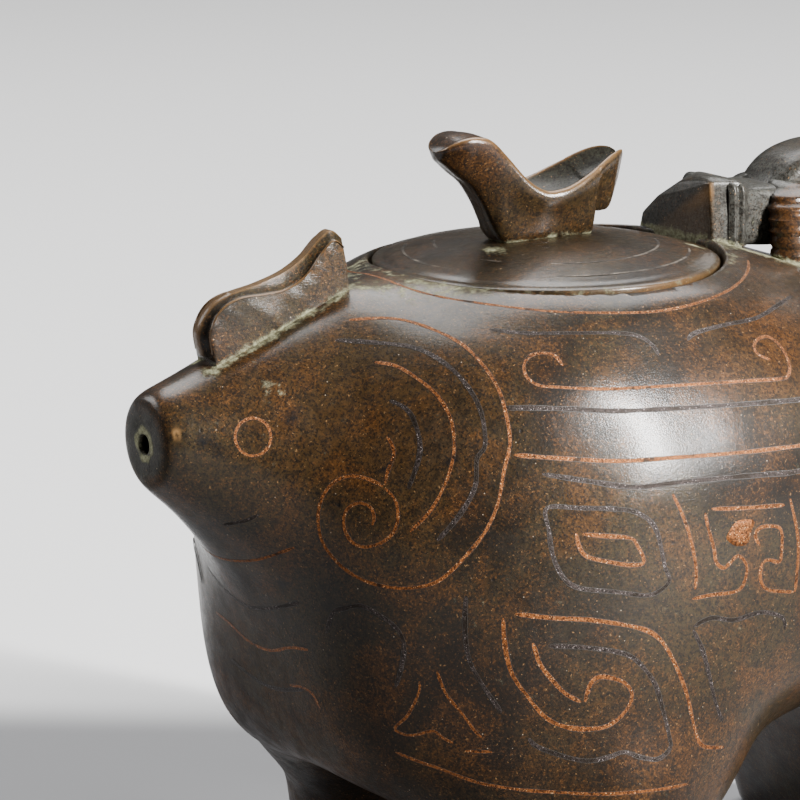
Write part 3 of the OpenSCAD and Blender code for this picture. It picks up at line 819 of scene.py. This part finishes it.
def sweptWires(name, lines, metal, thickness=1.0):
    # lines: (places on the skin, normals, closed)
    points, edges, normals, girths = [], [], [], []
    for number, (places, facing, closed) in enumerate(lines):
        base, n = len(points), len(places)
        knots = np.arange(0, n + 8, 4)
        rng = np.random.default_rng(len(name) * 7 + number)
        wobble = np.interp(np.arange(n), knots, rng.normal(1, 0.09, len(knots)))
        toEnd = np.minimum(np.arange(n), n - 1 - np.arange(n))
        taper = np.ones(n) if closed else within(toEnd / 2.5 + 0.35)
        points += list(places)
        normals += list(facing)
        girths += list(wobble * taper * thickness)
        edges += [(base + i, base + i + 1) for i in range(n - 1)] + ([(base + n - 1, base)] if closed else [])
    lift = wire["proud"] - (wire["proud"] + wire["sunk"]) / 2
    at = np.array(points) + np.array(normals) * lift
    mesh = bpy.data.meshes.new(name)
    mesh.from_pydata((at * mm).tolist(), edges, [])
    facing = mesh.attributes.new("skinNormal", "FLOAT_VECTOR", "POINT")
    facing.data.foreach_set("vector", np.array(normals, np.float32).ravel())
    piece = placed(name, mesh)
    paint(piece, girth=girths)
    step = piece.modifiers.new("hammeredWire", "NODES")
    step.node_group = sweepTree
    height = wire["proud"] + wire["sunk"]
    grooveHeight = height + 2 * (wire["grooveProud"] - wire["proud"])
    values = {"Wire Width": wire["width"] * mm, "Wire Height": height * mm, "Groove Width": wire["grooveWidth"] * mm,
              "Groove Height": grooveHeight * mm, "Wire Material": metal, "Groove Material": groove}
    for item in sweepTree.interface.items_tree:
        if item.name in values:
            step[item.identifier] = values[item.name]
    return keepSharp(baked(piece), 30)


def laidOnSkin(places, closed=False):
    line = evenly(np.vstack([places, places[:1]]) if closed else places, wire["step"])
    if closed:
        line = line[:-1]
    line = settle(skin, line, 2)
    return line, normalAt(line), closed


def fromPhoto(px, closed=False):
    return laidOnSkin(placeFromPhoto(through(px, 6, closed)), closed)


def fromBoth(px, side):
    # The seen part of a line, carried on over the flank.
    seen = placeFromPhoto(through(px, 6))
    unseen = placeFromSide(through([(seen[-1, 0] + 2, vessel["rimZ"] - seen[-1, 2]), *side], 6))
    return laidOnSkin(np.vstack([seen, unseen]))


def fromBack(line):
    return laidOnSkin(placeFromEnd(through(line, 8), 66, 16))


def breastLine(line):
    return laidOnSkin(placeFromEnd(through(line, 8), -60, -15))


def mirrored(lines):
    flip = np.array([1, -1, 1])
    return [(places[::-1] * flip, facing[::-1] * flip, closed) for places, facing, closed in lines]


def plainName(node):
    words = node.split("_")
    return words[0] + "".join(word.title() for word in words[1:])


def layWires(node, lines, thickness=1.0, material=None, body="vessel"):
    metal = node.split("_")[0]
    piece = sweptWires(plainName(node), lines, metals[material or metal], thickness)
    fitted(piece, node, None, body)


eyeRing = [(253 + 18 * math.cos(a * math.pi / 4), 437 + 19 * math.sin(a * math.pi / 4)) for a in range(8)]
sideWires = {
    "copper_eye_ring": (0.65, [eyeRing]),
    "copper_wing_spiral": (0.85, [
        [(386, 435), (394, 452), (388, 471), (384, 487)],
        [(384, 487), (368, 479), (349, 476), (333, 483), (322, 498), (318, 517), (321, 538), (330, 554), (346, 570),
         (368, 582), (395, 588), (419, 587), (440, 580), (463, 559), (485, 532), (498, 503), (504, 471), (510, 443),
         (506, 414), (498, 388), (482, 364), (463, 345), (437, 331), (408, 321), (383, 318), (348, 320)],
        [(384, 487), (395, 500), (398, 517), (393, 533), (381, 543), (365, 547), (352, 542), (344, 527), (346, 511),
         (358, 503), (370, 507), (374, 517), (372, 526)],
        [(373, 362), (396, 366), (418, 379), (437, 395), (450, 417), (454, 439), (453, 459), (445, 484),
         (431, 510), (410, 532)]]),
    "silver_wing_arcs": (1.0, [
        [(335, 340), (392, 344), (418, 349), (440, 360), (459, 376), (475, 398), (483, 420), (485, 446), (477, 459),
         (475, 487), (459, 516), (437, 541)],
        [(388, 400), (405, 408), (415, 423), (420, 452), (408, 490)]]),
    "copper_back_scroll": (0.8, [
        [(564, 367), (555, 356), (544, 353), (530, 356), (524, 366), (527, 377), (538, 385), (555, 387), (603, 389),
         (651, 387), (699, 384), (746, 381), (778, 379), (788, 376), (789, 363), (781, 347), (769, 337), (758, 339),
         (754, 347), (759, 355), (772, 360)]]),
    "silver_back_scroll": (0.9, [
        [(488, 329), (523, 333), (571, 333), (619, 333), (641, 337), (654, 347), (659, 356)],
        [(687, 341), (695, 333), (724, 325), (756, 318), (778, 305), (791, 296)]]),
    "copper_wing_bar": (1.0, [
        [(514, 455), (555, 458), (619, 461), (683, 457), (746, 452), (797, 446)]]),
    "silver_wing_bars": (1.1, [
        [(504, 408), (536, 408), (571, 409), (619, 411), (683, 408), (746, 404), (797, 400)],
        [(542, 474), (587, 481), (635, 487), (683, 482), (746, 476), (788, 473)]]),
    "silver_shield": (0.95, [
        [(547, 508), (579, 508), (617, 509), (635, 512), (650, 521), (658, 535), (665, 567), (669, 582), (650, 595),
         (617, 592), (579, 588), (563, 577), (553, 556), (549, 531)]]),
    "copper_shield_heart": (1.0, [
        [(576, 532), (579, 546), (586, 556), (604, 561), (630, 565), (644, 562), (637, 545), (630, 538),
         (604, 536), (582, 534)]]),
    "copper_fret": (0.95, [
        [(672, 493), (683, 516), (691, 541), (696, 569), (695, 590)],
        [(692, 599), (711, 595), (734, 592), (743, 585), (747, 569), (743, 559), (737, 556), (729, 564), (723, 568),
         (716, 562), (714, 549), (709, 531), (705, 513)],
        [(711, 509), (744, 508), (785, 505)],
        [(790, 498), (797, 531), (798, 556), (795, 592)],
        [(760, 546), (755, 535), (762, 527), (778, 527), (782, 536), (781, 556), (779, 562), (767, 560), (761, 567),
         (761, 582), (769, 590), (794, 592)]]),
    "copper_thigh_scroll": (1.1, [
        [(515, 614), (553, 618), (591, 620), (630, 626), (650, 632), (663, 643), (675, 664), (686, 692), (693, 722),
         (698, 740), (706, 747), (724, 747)],
        [(503, 618), (505, 646), (512, 674), (528, 697), (545, 717), (566, 727), (591, 729), (609, 725), (624, 713),
         (632, 697), (626, 684), (612, 678), (599, 677), (591, 683), (587, 694), (585, 702)],
        [(533, 643), (540, 664), (553, 681), (566, 694), (581, 702)]]),
    "silver_thigh_scroll": (1.0, [
        [(547, 646), (579, 647), (612, 651), (630, 656), (642, 666), (655, 684), (663, 710), (669, 735), (670, 748),
         (658, 759), (640, 757), (624, 752), (609, 757), (589, 761), (566, 757), (538, 747), (528, 738)],
        [(466, 595), (465, 628), (469, 659), (482, 684), (502, 713)]]),
    "copper_belly_border": (0.85, [
        [(395, 752), (420, 762), (438, 768), (476, 782), (515, 789), (553, 792), (604, 794), (655, 790), (688, 784)]]),
    "silver_flank_scroll": (1.0, [
        [(693, 627), (711, 618), (734, 620), (757, 613), (770, 613), (783, 618), (785, 630)],
        [(693, 630), (701, 646), (707, 666), (716, 704), (723, 722)]]),
    "copper_shank_lines": (0.75, [
        [(436, 669), (446, 694), (461, 712), (474, 730), (483, 739)],
        [(464, 751), (494, 752)],
        [(419, 680), (419, 692), (408, 715), (395, 728), (403, 734), (415, 735), (433, 731), (443, 738), (455, 744)]]),
    "silver_shank_lines": (1.0, [
        [(326, 634), (333, 613), (346, 608), (362, 606), (381, 616), (397, 629), (404, 645), (401, 669), (395, 688)]]),
}
loops = ("copper_eye_ring", "silver_shield")
# Where the wing's bars go on outside the frame, by x and depth
unseenBars = {
    "copper_wing_bar": [[(18, 15.8), (25, 15.2), (30, 14.6)]],
    "silver_wing_bars": [[(18, 11.1), (24, 10.8), (28, 10.4)], [(18, 18.1), (24, 17.9), (28, 17.6)]],
}
rumpSpiral = [
    [(17, 22), (24, 20.6), (31, 22), (34, 27), (32, 33), (26, 35.6), (20, 33.6), (17.6, 29), (20, 25), (25, 24),
     (28.6, 27), (27.4, 30.6), (24, 30.6)],
    [(14, 36), (18, 39), (24, 40.4), (30, 39.6)]]


def layPair(node, thickness, lines):
    for side, laid in (("left", lines), ("right", mirrored(lines))):
        layWires(node + "_" + side, laid, thickness)


for node, (thickness, lines) in sideWires.items():
    if node in unseenBars:
        laid = [fromBoth(px, side) for px, side in zip(lines, unseenBars[node])]
    else:
        laid = [fromPhoto(px, node in loops) for px in lines]
    layPair(node, thickness, laid)
layPair("copper_rump_spiral", 1.0, [laidOnSkin(placeFromSide(through(line, 6))) for line in rumpSpiral])


def leafPiece(node, px, flip):
    # A thin leaf let into the skin, from an outline in the photograph's frame.
    rim = placeFromPhoto(through(px, 4, True))
    rings = [settle(skin, rim.mean(0) + (rim - rim.mean(0)) * s, 3) for s in (1.0, 0.94, 0.6, 0.25, 0.25)]
    heights = (-0.15, wire["proud"], wire["proud"] + 0.02, wire["proud"] + 0.02, -0.15)
    rings = [r + normalAt(r) * h for r, h in zip(rings, heights)]
    points, faces = stacked([rings[-1], *rings[:-1]])
    points = points * np.array([1, -1 if flip else 1, 1])
    fitted(outward(meshPiece(plainName(node), points, faces)), node, metals["copper"])


patch = [(726, 536), (734, 523), (742, 519), (755, 520), (752, 531), (748, 544), (737, 547), (728, 542)]
leafPiece("copper_fret_patch_left", patch, False)
leafPiece("copper_fret_patch_right", patch, True)


def bothSides(px):
    line = fromPhoto(px)
    return [line, *mirrored([line])]


# Lines across the breast and down the tail, by y and depth
breast = {
    "copper": [[(-10, 23.4), (-6, 25.2), (-2, 26.0), (2, 26.0), (6, 25.2), (10, 23.4)],
               [(-9, 34.4), (-6, 34.8), (-2, 36.0), (2, 36.0), (6, 34.8), (9, 34.4)]],
    "silver": [[(-9, 29.4), (-4, 31), (0, 31.6), (4, 31), (9, 29.4)],
               [(-7, 39), (-3, 40), (0, 40.3), (3, 40), (7, 39)]],
}
tail = {
    "copper": [[(4.6, 38), (5.4, 52), (6.4, 66)]],
    "silver": [[(9.6, 37), (11.2, 52), (13, 66)], [(14, 40), (16, 53), (18.4, 65)]],
}
chestMarks = {
    "copper": [(289, 685), (304, 688), (314, 696), (320, 709)],
    "silver": [(222, 525), (245, 521), (259, 514)],
}
for metal, thickness in (("copper", 0.8), ("silver", 0.9)):
    lines = [breastLine(line) for line in breast[metal]] + bothSides(chestMarks[metal])
    layWires(metal + "_breast_lines", lines, thickness)
shoulder = {"r": 20.9, "start": 32, "end": 328}
arc = np.radians(np.linspace(shoulder["start"], shoulder["end"], 150))
ring = placeFromTop([(shoulder["r"] * math.cos(a), shoulder["r"] * math.sin(a)) for a in arc])
layWires("copper_shoulder_ring", [laidOnSkin(ring)], 0.7)
for metal in ("copper", "silver"):
    layWires(metal + "_tail_lines", [fromBack([(y * s, d) for y, d in line]) for s in (-1, 1) for line in tail[metal]])
print("inlay laid")

# Crest: a slab on the head, with a bead along each upper edge and a hollow band up to its ridge.
# Rows are root x, bead x, bead height, ridge x, ridge height; heights count from the rim.
crest = {
    "rows": [
        (-40.6, -41.2, -5.0, -41.6, -5.2), (-40.2, -41.4, -2.9, -42.1, -2.9), (-39.4, -40.2, -0.8, -40.8, -0.6),
        (-37.4, -38.0, 0.2, -38.6, 0.6), (-34.6, -35.0, 0.3, -35.2, 1.3), (-32.2, -32.4, 0.6, -32.2, 2.2),
        (-30.4, -30.3, 1.7, -29.9, 3.5), (-28.6, -28.4, 3.8, -28.0, 5.2), (-26.6, -27.0, 4.9, -26.6, 5.9),
        (-25.2, -25.8, 4.2, -25.4, 5.0)],
    "half": 1.8,
    "bead": 0.2,
    "hollow": 0.3,
    "ripple": 0.045,
}


def crestPoints(row, root):
    # Half a slice, from the root over the bead to the ridge: place, rub and highlight share, and warmth of each point.
    half, bead = crest["half"], crest["bead"]
    xr, xb, zb, xe, ze = row
    low = np.array([xr, half, root])
    edge = np.array([xb, half * 0.88, zb + vessel["rimZ"]])
    ridge = np.array([xe, half * 0.3, ze + vessel["rimZ"]])
    out = []
    for t in np.linspace(0, 1, 12):
        p = low + (edge - low) * t
        ripple = float(waves(np.array([p[0] * 1.3 + p[2], 0.3 * (p[2] - p[0]), 0]), 0.75, 6))
        p[1] += 0.14 * math.sin(math.pi * t) + crest["ripple"] * ripple * min(t * 3, 1)
        out.append((p, 0.0, 0.0))
    rise = (edge - low) / max(np.linalg.norm(edge - low), 0.3)
    # The bead is painted lighter: a worn edge, with a painted highlight along it.
    for a in (-0.9, 0, 0.9):
        aside = np.array([0, -bead * math.sin(a * 1.2), 0])
        out.append((edge + rise * bead * math.cos(a * 1.2) * 1.2 + aside, 0.3, 0.1))
    # The hollow band runs up to the ridge, whose top is painted lighter in the same way.
    for t in np.linspace(0.18, 1, 7):
        p = edge + (ridge - edge) * t - rise * crest["hollow"] * math.sin(math.pi * min(t, 1)) * 0.8
        out.append((p, 0.3 if t > 0.95 else 0.0, -0.5))
    return out


def makeCrest():
    rows = through(crest["rows"], 8)
    roots = placeFromTop([(r[0], crest["half"]) for r in rows])[:, 2] - 0.7
    rings, polish, warm = [], [], []
    for row, root in zip(rows, roots):
        line, shine, glow = zip(*crestPoints(row, root))
        rings.append([p * np.array([1, -1, 1]) for p in line] + list(line[::-1]))
        polish += shine + shine[::-1]
        warm += glow + glow[::-1]
    points, faces = stacked(rings)
    piece = outward(keepSharp(meshPiece("crest", points, faces), 50), False)
    paint(piece, polish=polish + [0, 0], warm=warm + [0, 0], dull=np.full(len(points), 0.35),
          verdigris=np.clip(0.85 - skin(points) / 0.7, 0, 0.85))
    return piece


fitted(makeCrest(), "crest", crestBronze)
print("crest made")

# Lid, with what is fixed on it
lid = {
    "r": 18.0,
    "rise": 2.7,
    "edge": 70.3,
    "thick": 1.6,
    "hollowR": 14.0,
    "collarOut": 15.4,
    "collarIn": 14.0,
    "collarH": 3.6,
}
domeR = (lid["r"] ** 2 + lid["rise"] ** 2) / (2 * lid["rise"])
domeCentre = lid["edge"] + lid["rise"] - domeR


def domeZ(r):
    return domeCentre + np.sqrt(domeR ** 2 - np.asarray(r, float) ** 2)


def makeLid():
    r = lid["r"]
    inner = domeR - lid["thick"]
    top = [(x, domeZ(x) - 0.08 * math.exp(-((x - 16.9) / 0.35) ** 2)) for x in np.linspace(0.6, r - 0.3, 60)]
    edge = [(r - 0.12, domeZ(r)), (r - 0.03, domeZ(r) - 0.08), (r, domeZ(r) - 0.24), (r, seatZ + 0.15),
            (r - 0.12, seatZ)]
    under = [(x, domeCentre + math.sqrt(inner ** 2 - x * x)) for x in np.linspace(lid["hollowR"], 0.6, 16)]
    profile = [(0, domeZ(0)), *top, *edge, (lid["hollowR"], seatZ), *under, (0, domeCentre + inner)]
    piece = turned("lidPlate", profile, 240)
    p = pointsOf(piece)
    uneven = 0.05 * waves(p, 5.0, 11) * within((17.6 - np.hypot(p[:, 0], p[:, 1])) / 2)
    p[:, 2] += np.where(p[:, 2] > 69.9, uneven, 0)
    piece.data.vertices.foreach_set("co", (p * mm).ravel())
    bearing = np.degrees(np.arctan2(p[:, 1], p[:, 0]))
    nearEdge = within(1 - (18.1 - np.hypot(p[:, 0], p[:, 1])) / 1.3)
    lump = around(p, (15.2, -5.3, 70.8), (1.3, 1.1, 1))
    crumbs = nearEdge * within(1 - np.abs(bearing + 165) / 60) * 0.55
    foot = around(p, (-8.2, -2.6, 72), (1.4, 1.6, 1)) * 0.85
    # The edge's front, towards the key lamp, is painted lighter: a painted highlight.
    paint(piece, verdigris=np.maximum.reduce([lump, crumbs, foot, nearEdge * 0.3]),
          polish=nearEdge ** 3 * 0.35 * within(1 - np.abs(bearing + 75) / 50))
    return piece


def makeCollar():
    a, b, low = lid["collarIn"], lid["collarOut"], seatZ - lid["collarH"]
    outline = [(a, seatZ), (a, low + 0.2), (a + 0.2, low), (b - 0.2, low), (b, low + 0.2), (b, seatZ)]
    rings = [[(r * math.cos(t), r * math.sin(t), z) for r, z in outline] for t in roundTurn(160)]
    m, n = len(rings), len(outline)
    faces = [(k * n + i, k * n + (i + 1) % n, (k + 1) % m * n + (i + 1) % n, (k + 1) % m * n + i)
             for k in range(m) for i in range(n)]
    return keepSharp(outward(meshPiece("lidCollar", np.array(rings).reshape(-1, 3), faces)))


def onDome(line):
    line = np.asarray(line, float)
    r = np.hypot(line[:, 0], line[:, 1])
    places = np.stack([line[:, 0], line[:, 1], domeZ(r)], -1)
    facing = places - np.array([0, 0, domeCentre])
    return places, facing / np.linalg.norm(facing, axis=1, keepdims=True)


def lidRing(r, start=0, end=360):
    a = np.radians(np.linspace(start, end, int(abs(end - start) / 1.3)))
    closed = end - start == 360
    places, facing = onDome(np.stack([r * np.cos(a), r * np.sin(a)], -1)[:-1 if closed else None])
    return places, facing, closed


# The finial: a small bird with a round head and a hollowed, spread tail.
# Rows are x, height of the middle, of the rims, half width and height of the underside, all above the rim.
finial = {
    "rows": [
        (-13.9, 12.6, 12.6, 0.3, 12.3), (-13.6, 13.1, 13.0, 1.5, 11.7), (-13.0, 13.6, 13.5, 2.2, 11.2),
        (-11.8, 14.2, 14.0, 2.8, 10.2), (-10.2, 14.3, 14.1, 3.0, 8.9), (-8.6, 13.7, 13.6, 3.1, 6.6),
        (-6.8, 11.5, 11.9, 3.2, 3.2), (-4.6, 8.9, 9.4, 3.7, 1.9), (-2.6, 7.2, 8.1, 4.1, 1.9),
        (-0.6, 6.8, 8.1, 4.3, 1.9),
        (1.0, 6.9, 8.5, 4.2, 1.9), (2.8, 7.4, 9.2, 3.9, 1.9), (4.2, 8.0, 9.8, 3.5, 2.0), (4.8, 8.4, 10.1, 3.3, 4.6),
        (6.2, 9.0, 10.7, 2.8, 4.8), (7.2, 9.5, 11.0, 2.4, 5.0), (8.0, 9.9, 11.1, 1.9, 6.6), (8.7, 10.2, 11.0, 1.3, 8.2),
        (9.0, 10.2, 10.7, 0.6, 9.4)],
}


def makeFinial():
    rings, polish, warm = [], [], []
    for x, mid, rim, w, low in through(finial["rows"], 6):
        foot = 0.62 if low < 4 else 0.52
        floor = float(domeZ(5)) - 0.3 - vessel["rimZ"] if low < 2.4 else low
        deep = rim - floor
        half = [
            (0, floor), (w * foot * 0.6, floor), (w * foot, floor + deep * 0.1), (w * 0.8, floor + deep * 0.5),
            (w * 0.98, rim - deep * 0.2), (w * 0.97, rim - deep * 0.05), (w * 0.86, rim + 0.02),
            (w * 0.72, rim - (rim - mid) * 0.25), (w * 0.4, mid + (rim - mid) * 0.3), (0, mid)]
        outline = [(-y, z) for y, z in half] + [(y, z) for y, z in half[-2:0:-1]]
        smooth = through(outline, 3, True)
        rings.append([(x, y, z + vessel["rimZ"]) for y, z in smooth])
        edge = np.array([abs(y) / max(w, 0.1) for y, z in smooth])
        high = np.array([(z - floor) / max(deep, 0.1) for y, z in smooth])
        # The rims' tops are painted lighter: wear on the raised edges, with a painted highlight along them.
        polish += list(0.55 * within(1 - np.abs(edge - 0.9) / 0.1) * (high > 0.93))
        # Inside the hollowed tail the colour is painted darker and greyer: painted shade in the hollow.
        inner = (np.abs(np.arange(len(smooth)) - len(smooth) // 2) <= 7) * min(max(rim - mid, 0) / 0.5, 1)
        warm += list(0.15 * (1 - inner) - 0.5 * inner)
    points, faces = stacked(rings)
    piece = keepSharp(outward(meshPiece("birdFinial", points, faces), False), 60)
    # The same hollow mask paints that shade grey and takes off the wax.
    hollow = within(np.array(warm + [0, 0]) * -2)
    above = points[:, 2] - domeZ(np.hypot(points[:, 0], points[:, 1]))
    green = np.clip(0.95 - above / 0.6, 0, 0.9) * np.clip(1 - (points[:, 0] + 5) / 4, 0.75, 1)
    paint(piece, polish=polish + [0, 0], warm=warm + [0, 0], dull=hollow, ash=hollow * 0.9, verdigris=green)
    return piece


fitted(makeLid(), "lid_plate", lidBronze, "lid")
fitted(makeCollar(), "lid_collar", trimBronze, "lid")
fitted(makeFinial(), "bird_finial", finialBronze, "lid")
lidRings = [lidRing(14.8), lidRing(11.6, -160, -20), lidRing(11.6, 20, 160)]
layWires("silver_lid_rings", lidRings, 0.55, "paleSilver", "lid")
print("lid made")

# The dragon handle: a faceted head at the lid's rim, a ringed neck, ribbed forelegs and an arched back.
handle = {
    "head": [
        (18.1, 4.2, 71.6), (18.45, -3.3, 77.0), (18.5, -3.95, 70.3), (17.3, 7.6, 70.6), (17.4, 7.2, 72.3),
        (17.8, 5.1, 74.3), (18.4, 2.0, 76.3), (19.0, -0.5, 77.2), (19.4, -2.4, 77.4), (22.2, -4.1, 76.8),
        (22.2, 4.1, 76.8), (22.2, 6.4, 72.4), (18.6, -3.9, 69.3), (18.3, 4.2, 69.4), (17.7, 7.4, 69.3),
        (22.2, -4.3, 69.2), (22.2, 7.0, 69.2)],
    "neck": [
        (20.4, 4.2, 69.7, 76.8), (21.0, 4.65, 69.6, 77.0), (21.5, 4.3, 69.7, 76.8), (22.1, 4.65, 69.6, 76.9),
        (22.7, 4.2, 69.7, 76.4), (23.6, 4.1, 69.7, 76.1), (25.4, 4.1, 69.5, 76.0), (27.2, 4.2, 69.4, 75.9),
        (28.6, 4.3, 69.6, 75.7), (29.8, 4.0, 70.4, 75.4)],
    "back": [
        (27.8, 3.0, 58, 2.2, 0.6), (29.3, 5.1, 52, 2.2, 0.68), (31.0, 6.5, 32, 2.2, 0.71), (33.2, 7.3, 12, 2.2, 0.7),
        (35.6, 7.5, -6, 2.2, 0.68), (38.4, 6.7, -28, 2.2, 0.62), (41.1, 4.1, -58, 2.3, 0.58),
        (42.7, -0.5, -80, 2.1, 0.54),
        (43.0, -6.4, -92, 1.9, 0.5), (43.1, -11.3, -98, 1.6, 0.46), (43.2, -14.9, -104, 1.1, 0.42)],
    "halfWidth": 5.6,
    "leg": [(29.4, 1.4, 6.6, 1.1, 0.9), (29.2, 2.5, 6.1, 1.8, 1.5), (28.8, 3.8, 5.1, 2.6, 2.1),
            (28.3, 5.3, 3, 3.1, 2.3),
            (27.9, 6.4, -1, 3.1, 2.2), (27.5, 7.1, -3, 3.3, 2.1), (27.2, 7.6, -4.8, 3.6, 2.2)],
    "ribs": 0.16,
    "ribPitch": 1.15,
}


def hullPiece(name, points, bevel):
    work = bmesh.new()
    for p in points:
        work.verts.new(np.array(p) * mm)
    result = bmesh.ops.convex_hull(work, input=work.verts)
    spare = {v for v in result["geom_interior"] + result["geom_unused"] if isinstance(v, bmesh.types.BMVert)}
    bmesh.ops.delete(work, geom=list(spare), context="VERTS")
    bmesh.ops.dissolve_limit(work, angle_limit=math.radians(6), verts=work.verts, edges=work.edges)
    bmesh.ops.recalc_face_normals(work, faces=work.faces)
    mesh = bpy.data.meshes.new(name)
    work.to_mesh(mesh)
    work.free()
    piece = placed(name, mesh)
    step = piece.modifiers.new("softEdges", "BEVEL")
    step.width, step.segments, step.limit_method, step.angle_limit = bevel * mm, 3, "ANGLE", math.radians(12)
    dense = piece.modifiers.new("denser", "SUBSURF")
    dense.subdivision_type = "SIMPLE"
    dense.levels = dense.render_levels = 3
    return baked(piece)


def roundedOblong(centre, upward, halfW, halfH, power=0.6):
    a = roundTurn(48) + math.pi / 48
    w = np.sign(np.cos(a)) * np.abs(np.cos(a)) ** power * halfW
    h = np.sign(np.sin(a)) * np.abs(np.sin(a)) ** power * halfH
    return np.array(centre) + w[:, None] * np.array((0, 1, 0)) + h[:, None] * np.array(upward)


def joined(name, pieces):
    work = bmesh.new()
    for piece in pieces:
        work.from_mesh(piece.data)
        bpy.data.objects.remove(piece)
    mesh = bpy.data.meshes.new(name)
    work.to_mesh(mesh)
    work.free()
    mesh.polygons.foreach_set("use_smooth", [True] * len(mesh.polygons))
    return placed(name, mesh)


def ribbedLeg(side):
    rings = []
    for x, y, z, a, b in through(handle["leg"], 10):
        rib = handle["ribs"] * math.sin(2 * math.pi * z / handle["ribPitch"])
        turn = roundTurn(36)
        across, along = side * y + (b + rib) * np.sin(turn), x + (a + rib) * np.cos(turn)
        rings.append(np.stack([along, across, np.full(36, vessel["rimZ"] + z)], -1))
    return outward(meshPiece("foreleg", *stacked(rings)))


def makeHandle():
    neck = [roundedOblong((x, 0, (lo + hi) / 2), (0, 0, 1), w, (hi - lo) / 2, 0.3)
            for x, w, lo, hi in through(handle["neck"], 5)]
    back = []
    for x, z, turn, h, share in through(handle["back"], 7):
        t = math.radians(turn)
        up = (-math.sin(t), 0, math.cos(t))
        back.append(roundedOblong((x, 0, vessel["rimZ"] + z), up, share * handle["halfWidth"], h))
    parts = [hullPiece("head", handle["head"], 0.22)]
    parts += [outward(meshPiece(name, *stacked(rings))) for name, rings in (("neck", neck), ("back", back))]
    parts += [ribbedLeg(side) for side in (-1, 1)]
    piece = keepSharp(joined("dragonHandle", parts), 42)
    p = pointsOf(piece)
    x, y, z = p.T
    rearLeg = (x > 24.5) & (np.abs(y) > 4.4)
    # The head's front facet below its ridge is painted lighter brown, brightest along the ridge: a painted highlight.
    (_, y0, z0), (_, y1, z1) = handle["head"][:2]
    below = ((y - y0) * (z1 - z0) - (z - z0) * (y1 - y0)) / math.hypot(y1 - y0, z1 - z0)
    facet = (x < 18.75) * within((y + 3.9) / 0.5) * within(0.5 - below / 0.4)
    ridge = np.exp(-((below + 0.9) / 0.8) ** 2) * within((z - 73) / 3)
    grey = np.clip((33 - x) / 5, 0.3, 0.85) * np.where(x < 19.6, 0.6, 1.0)
    paint(piece, verdigris=np.clip(0.8 - skin(p) / 0.8, 0, 0.8), warm=np.where(rearLeg, 0.35, -0.3),
          dull=np.where(rearLeg, 0.0, 0.6), polish=facet * (0.12 + 0.45 * ridge), ash=np.where(rearLeg, 0.0, grey))
    return piece


fitted(makeHandle(), "dragon_handle", trimBronze)
print("handle made")

# Floor, light and finish
studio = {
    "world": (0.62, 0.62, 0.62),
    "worldStrength": 0.12,
    "floor": (0.62, 0.62, 0.622),
    "floorHalf": 6000,
    "shade": (0.215, 0.215, 0.222),
    "shadeSide": (-0.574, -0.819, 0),
    "shadeStart": -0.081,
    "shadeEnd": -0.064,
}
# Each lamp hangs that far from a point, in that direction, and looks at another point.
lamps = {
    "keyDome": {"side": (0.39, -0.82, 0.45), "far": 700, "start": (-5, -27, 57), "aim": (-5, -27, 57),
                "size": (0.045, 0.42), "power": 28.0, "colour": (1, 0.985, 0.965), "shape": "ELLIPSE"},
    "topBank": {"side": (0.35, 0.35, 0.9), "far": 900, "start": (0, 0, 60), "aim": (0, 0, 70),
                "size": (0.8, 0.6), "power": 15.0, "colour": (1, 1, 1), "shape": "RECTANGLE"},
    "rearBank": {"side": (-0.55, 0.65, 0.5), "far": 900, "start": (0, 0, 60), "aim": (0, 0, 70),
                 "size": (0.45, 0.45), "power": 6.0, "colour": (1, 1, 1), "shape": "RECTANGLE"},
}


def makeStudio():
    world = bpy.data.worlds.new("studio")
    world.use_nodes = True
    background = world.node_tree.nodes["Background"].inputs
    background[0].default_value = (*studio["world"], 1)
    background[1].default_value = studio["worldStrength"]
    bpy.context.scene.world = world
    far = studio["floorHalf"]
    floor = meshPiece("floor", [(-far, -far, 0), (far, -far, 0), (far, far, 0), (-far, far, 0)], [(0, 1, 2, 3)], False)
    material, shader = nodeTree("paleFloor")
    # The paper's colour is darkened towards the camera, a hand's breadth left of the vessel: a painted shadow.
    toward = added("VectorMath", {0: objectPlace(), 1: studio["shadeSide"]}, "Value", operation="DOT_PRODUCT")
    share = ranged(toward, studio["shadeStart"], studio["shadeEnd"])
    feed(shader["Base Color"], blended(share, studio["floor"], studio["shade"]))
    feed(shader["Roughness"], 0.75)
    floor.data.materials.append(material)


def hangLamp(name, lamp):
    data = bpy.data.lights.new(name, "AREA")
    data.shape, data.energy, data.color = lamp["shape"], lamp["power"], lamp["colour"]
    data.size, data.size_y = lamp["size"]
    direction, aim = np.array(lamp["side"], float), np.array(lamp["aim"], float)
    place = np.array(lamp["start"]) + direction / np.linalg.norm(direction) * lamp["far"]
    back = (place - aim) / np.linalg.norm(place - aim)
    side = np.cross((0, 0, 1), back)
    side = side / np.linalg.norm(side)
    stand(placed(name, data), side, np.cross(back, side), back, place)


makeStudio()
for name, lamp in lamps.items():
    hangLamp(name, lamp)
print("studio lit")
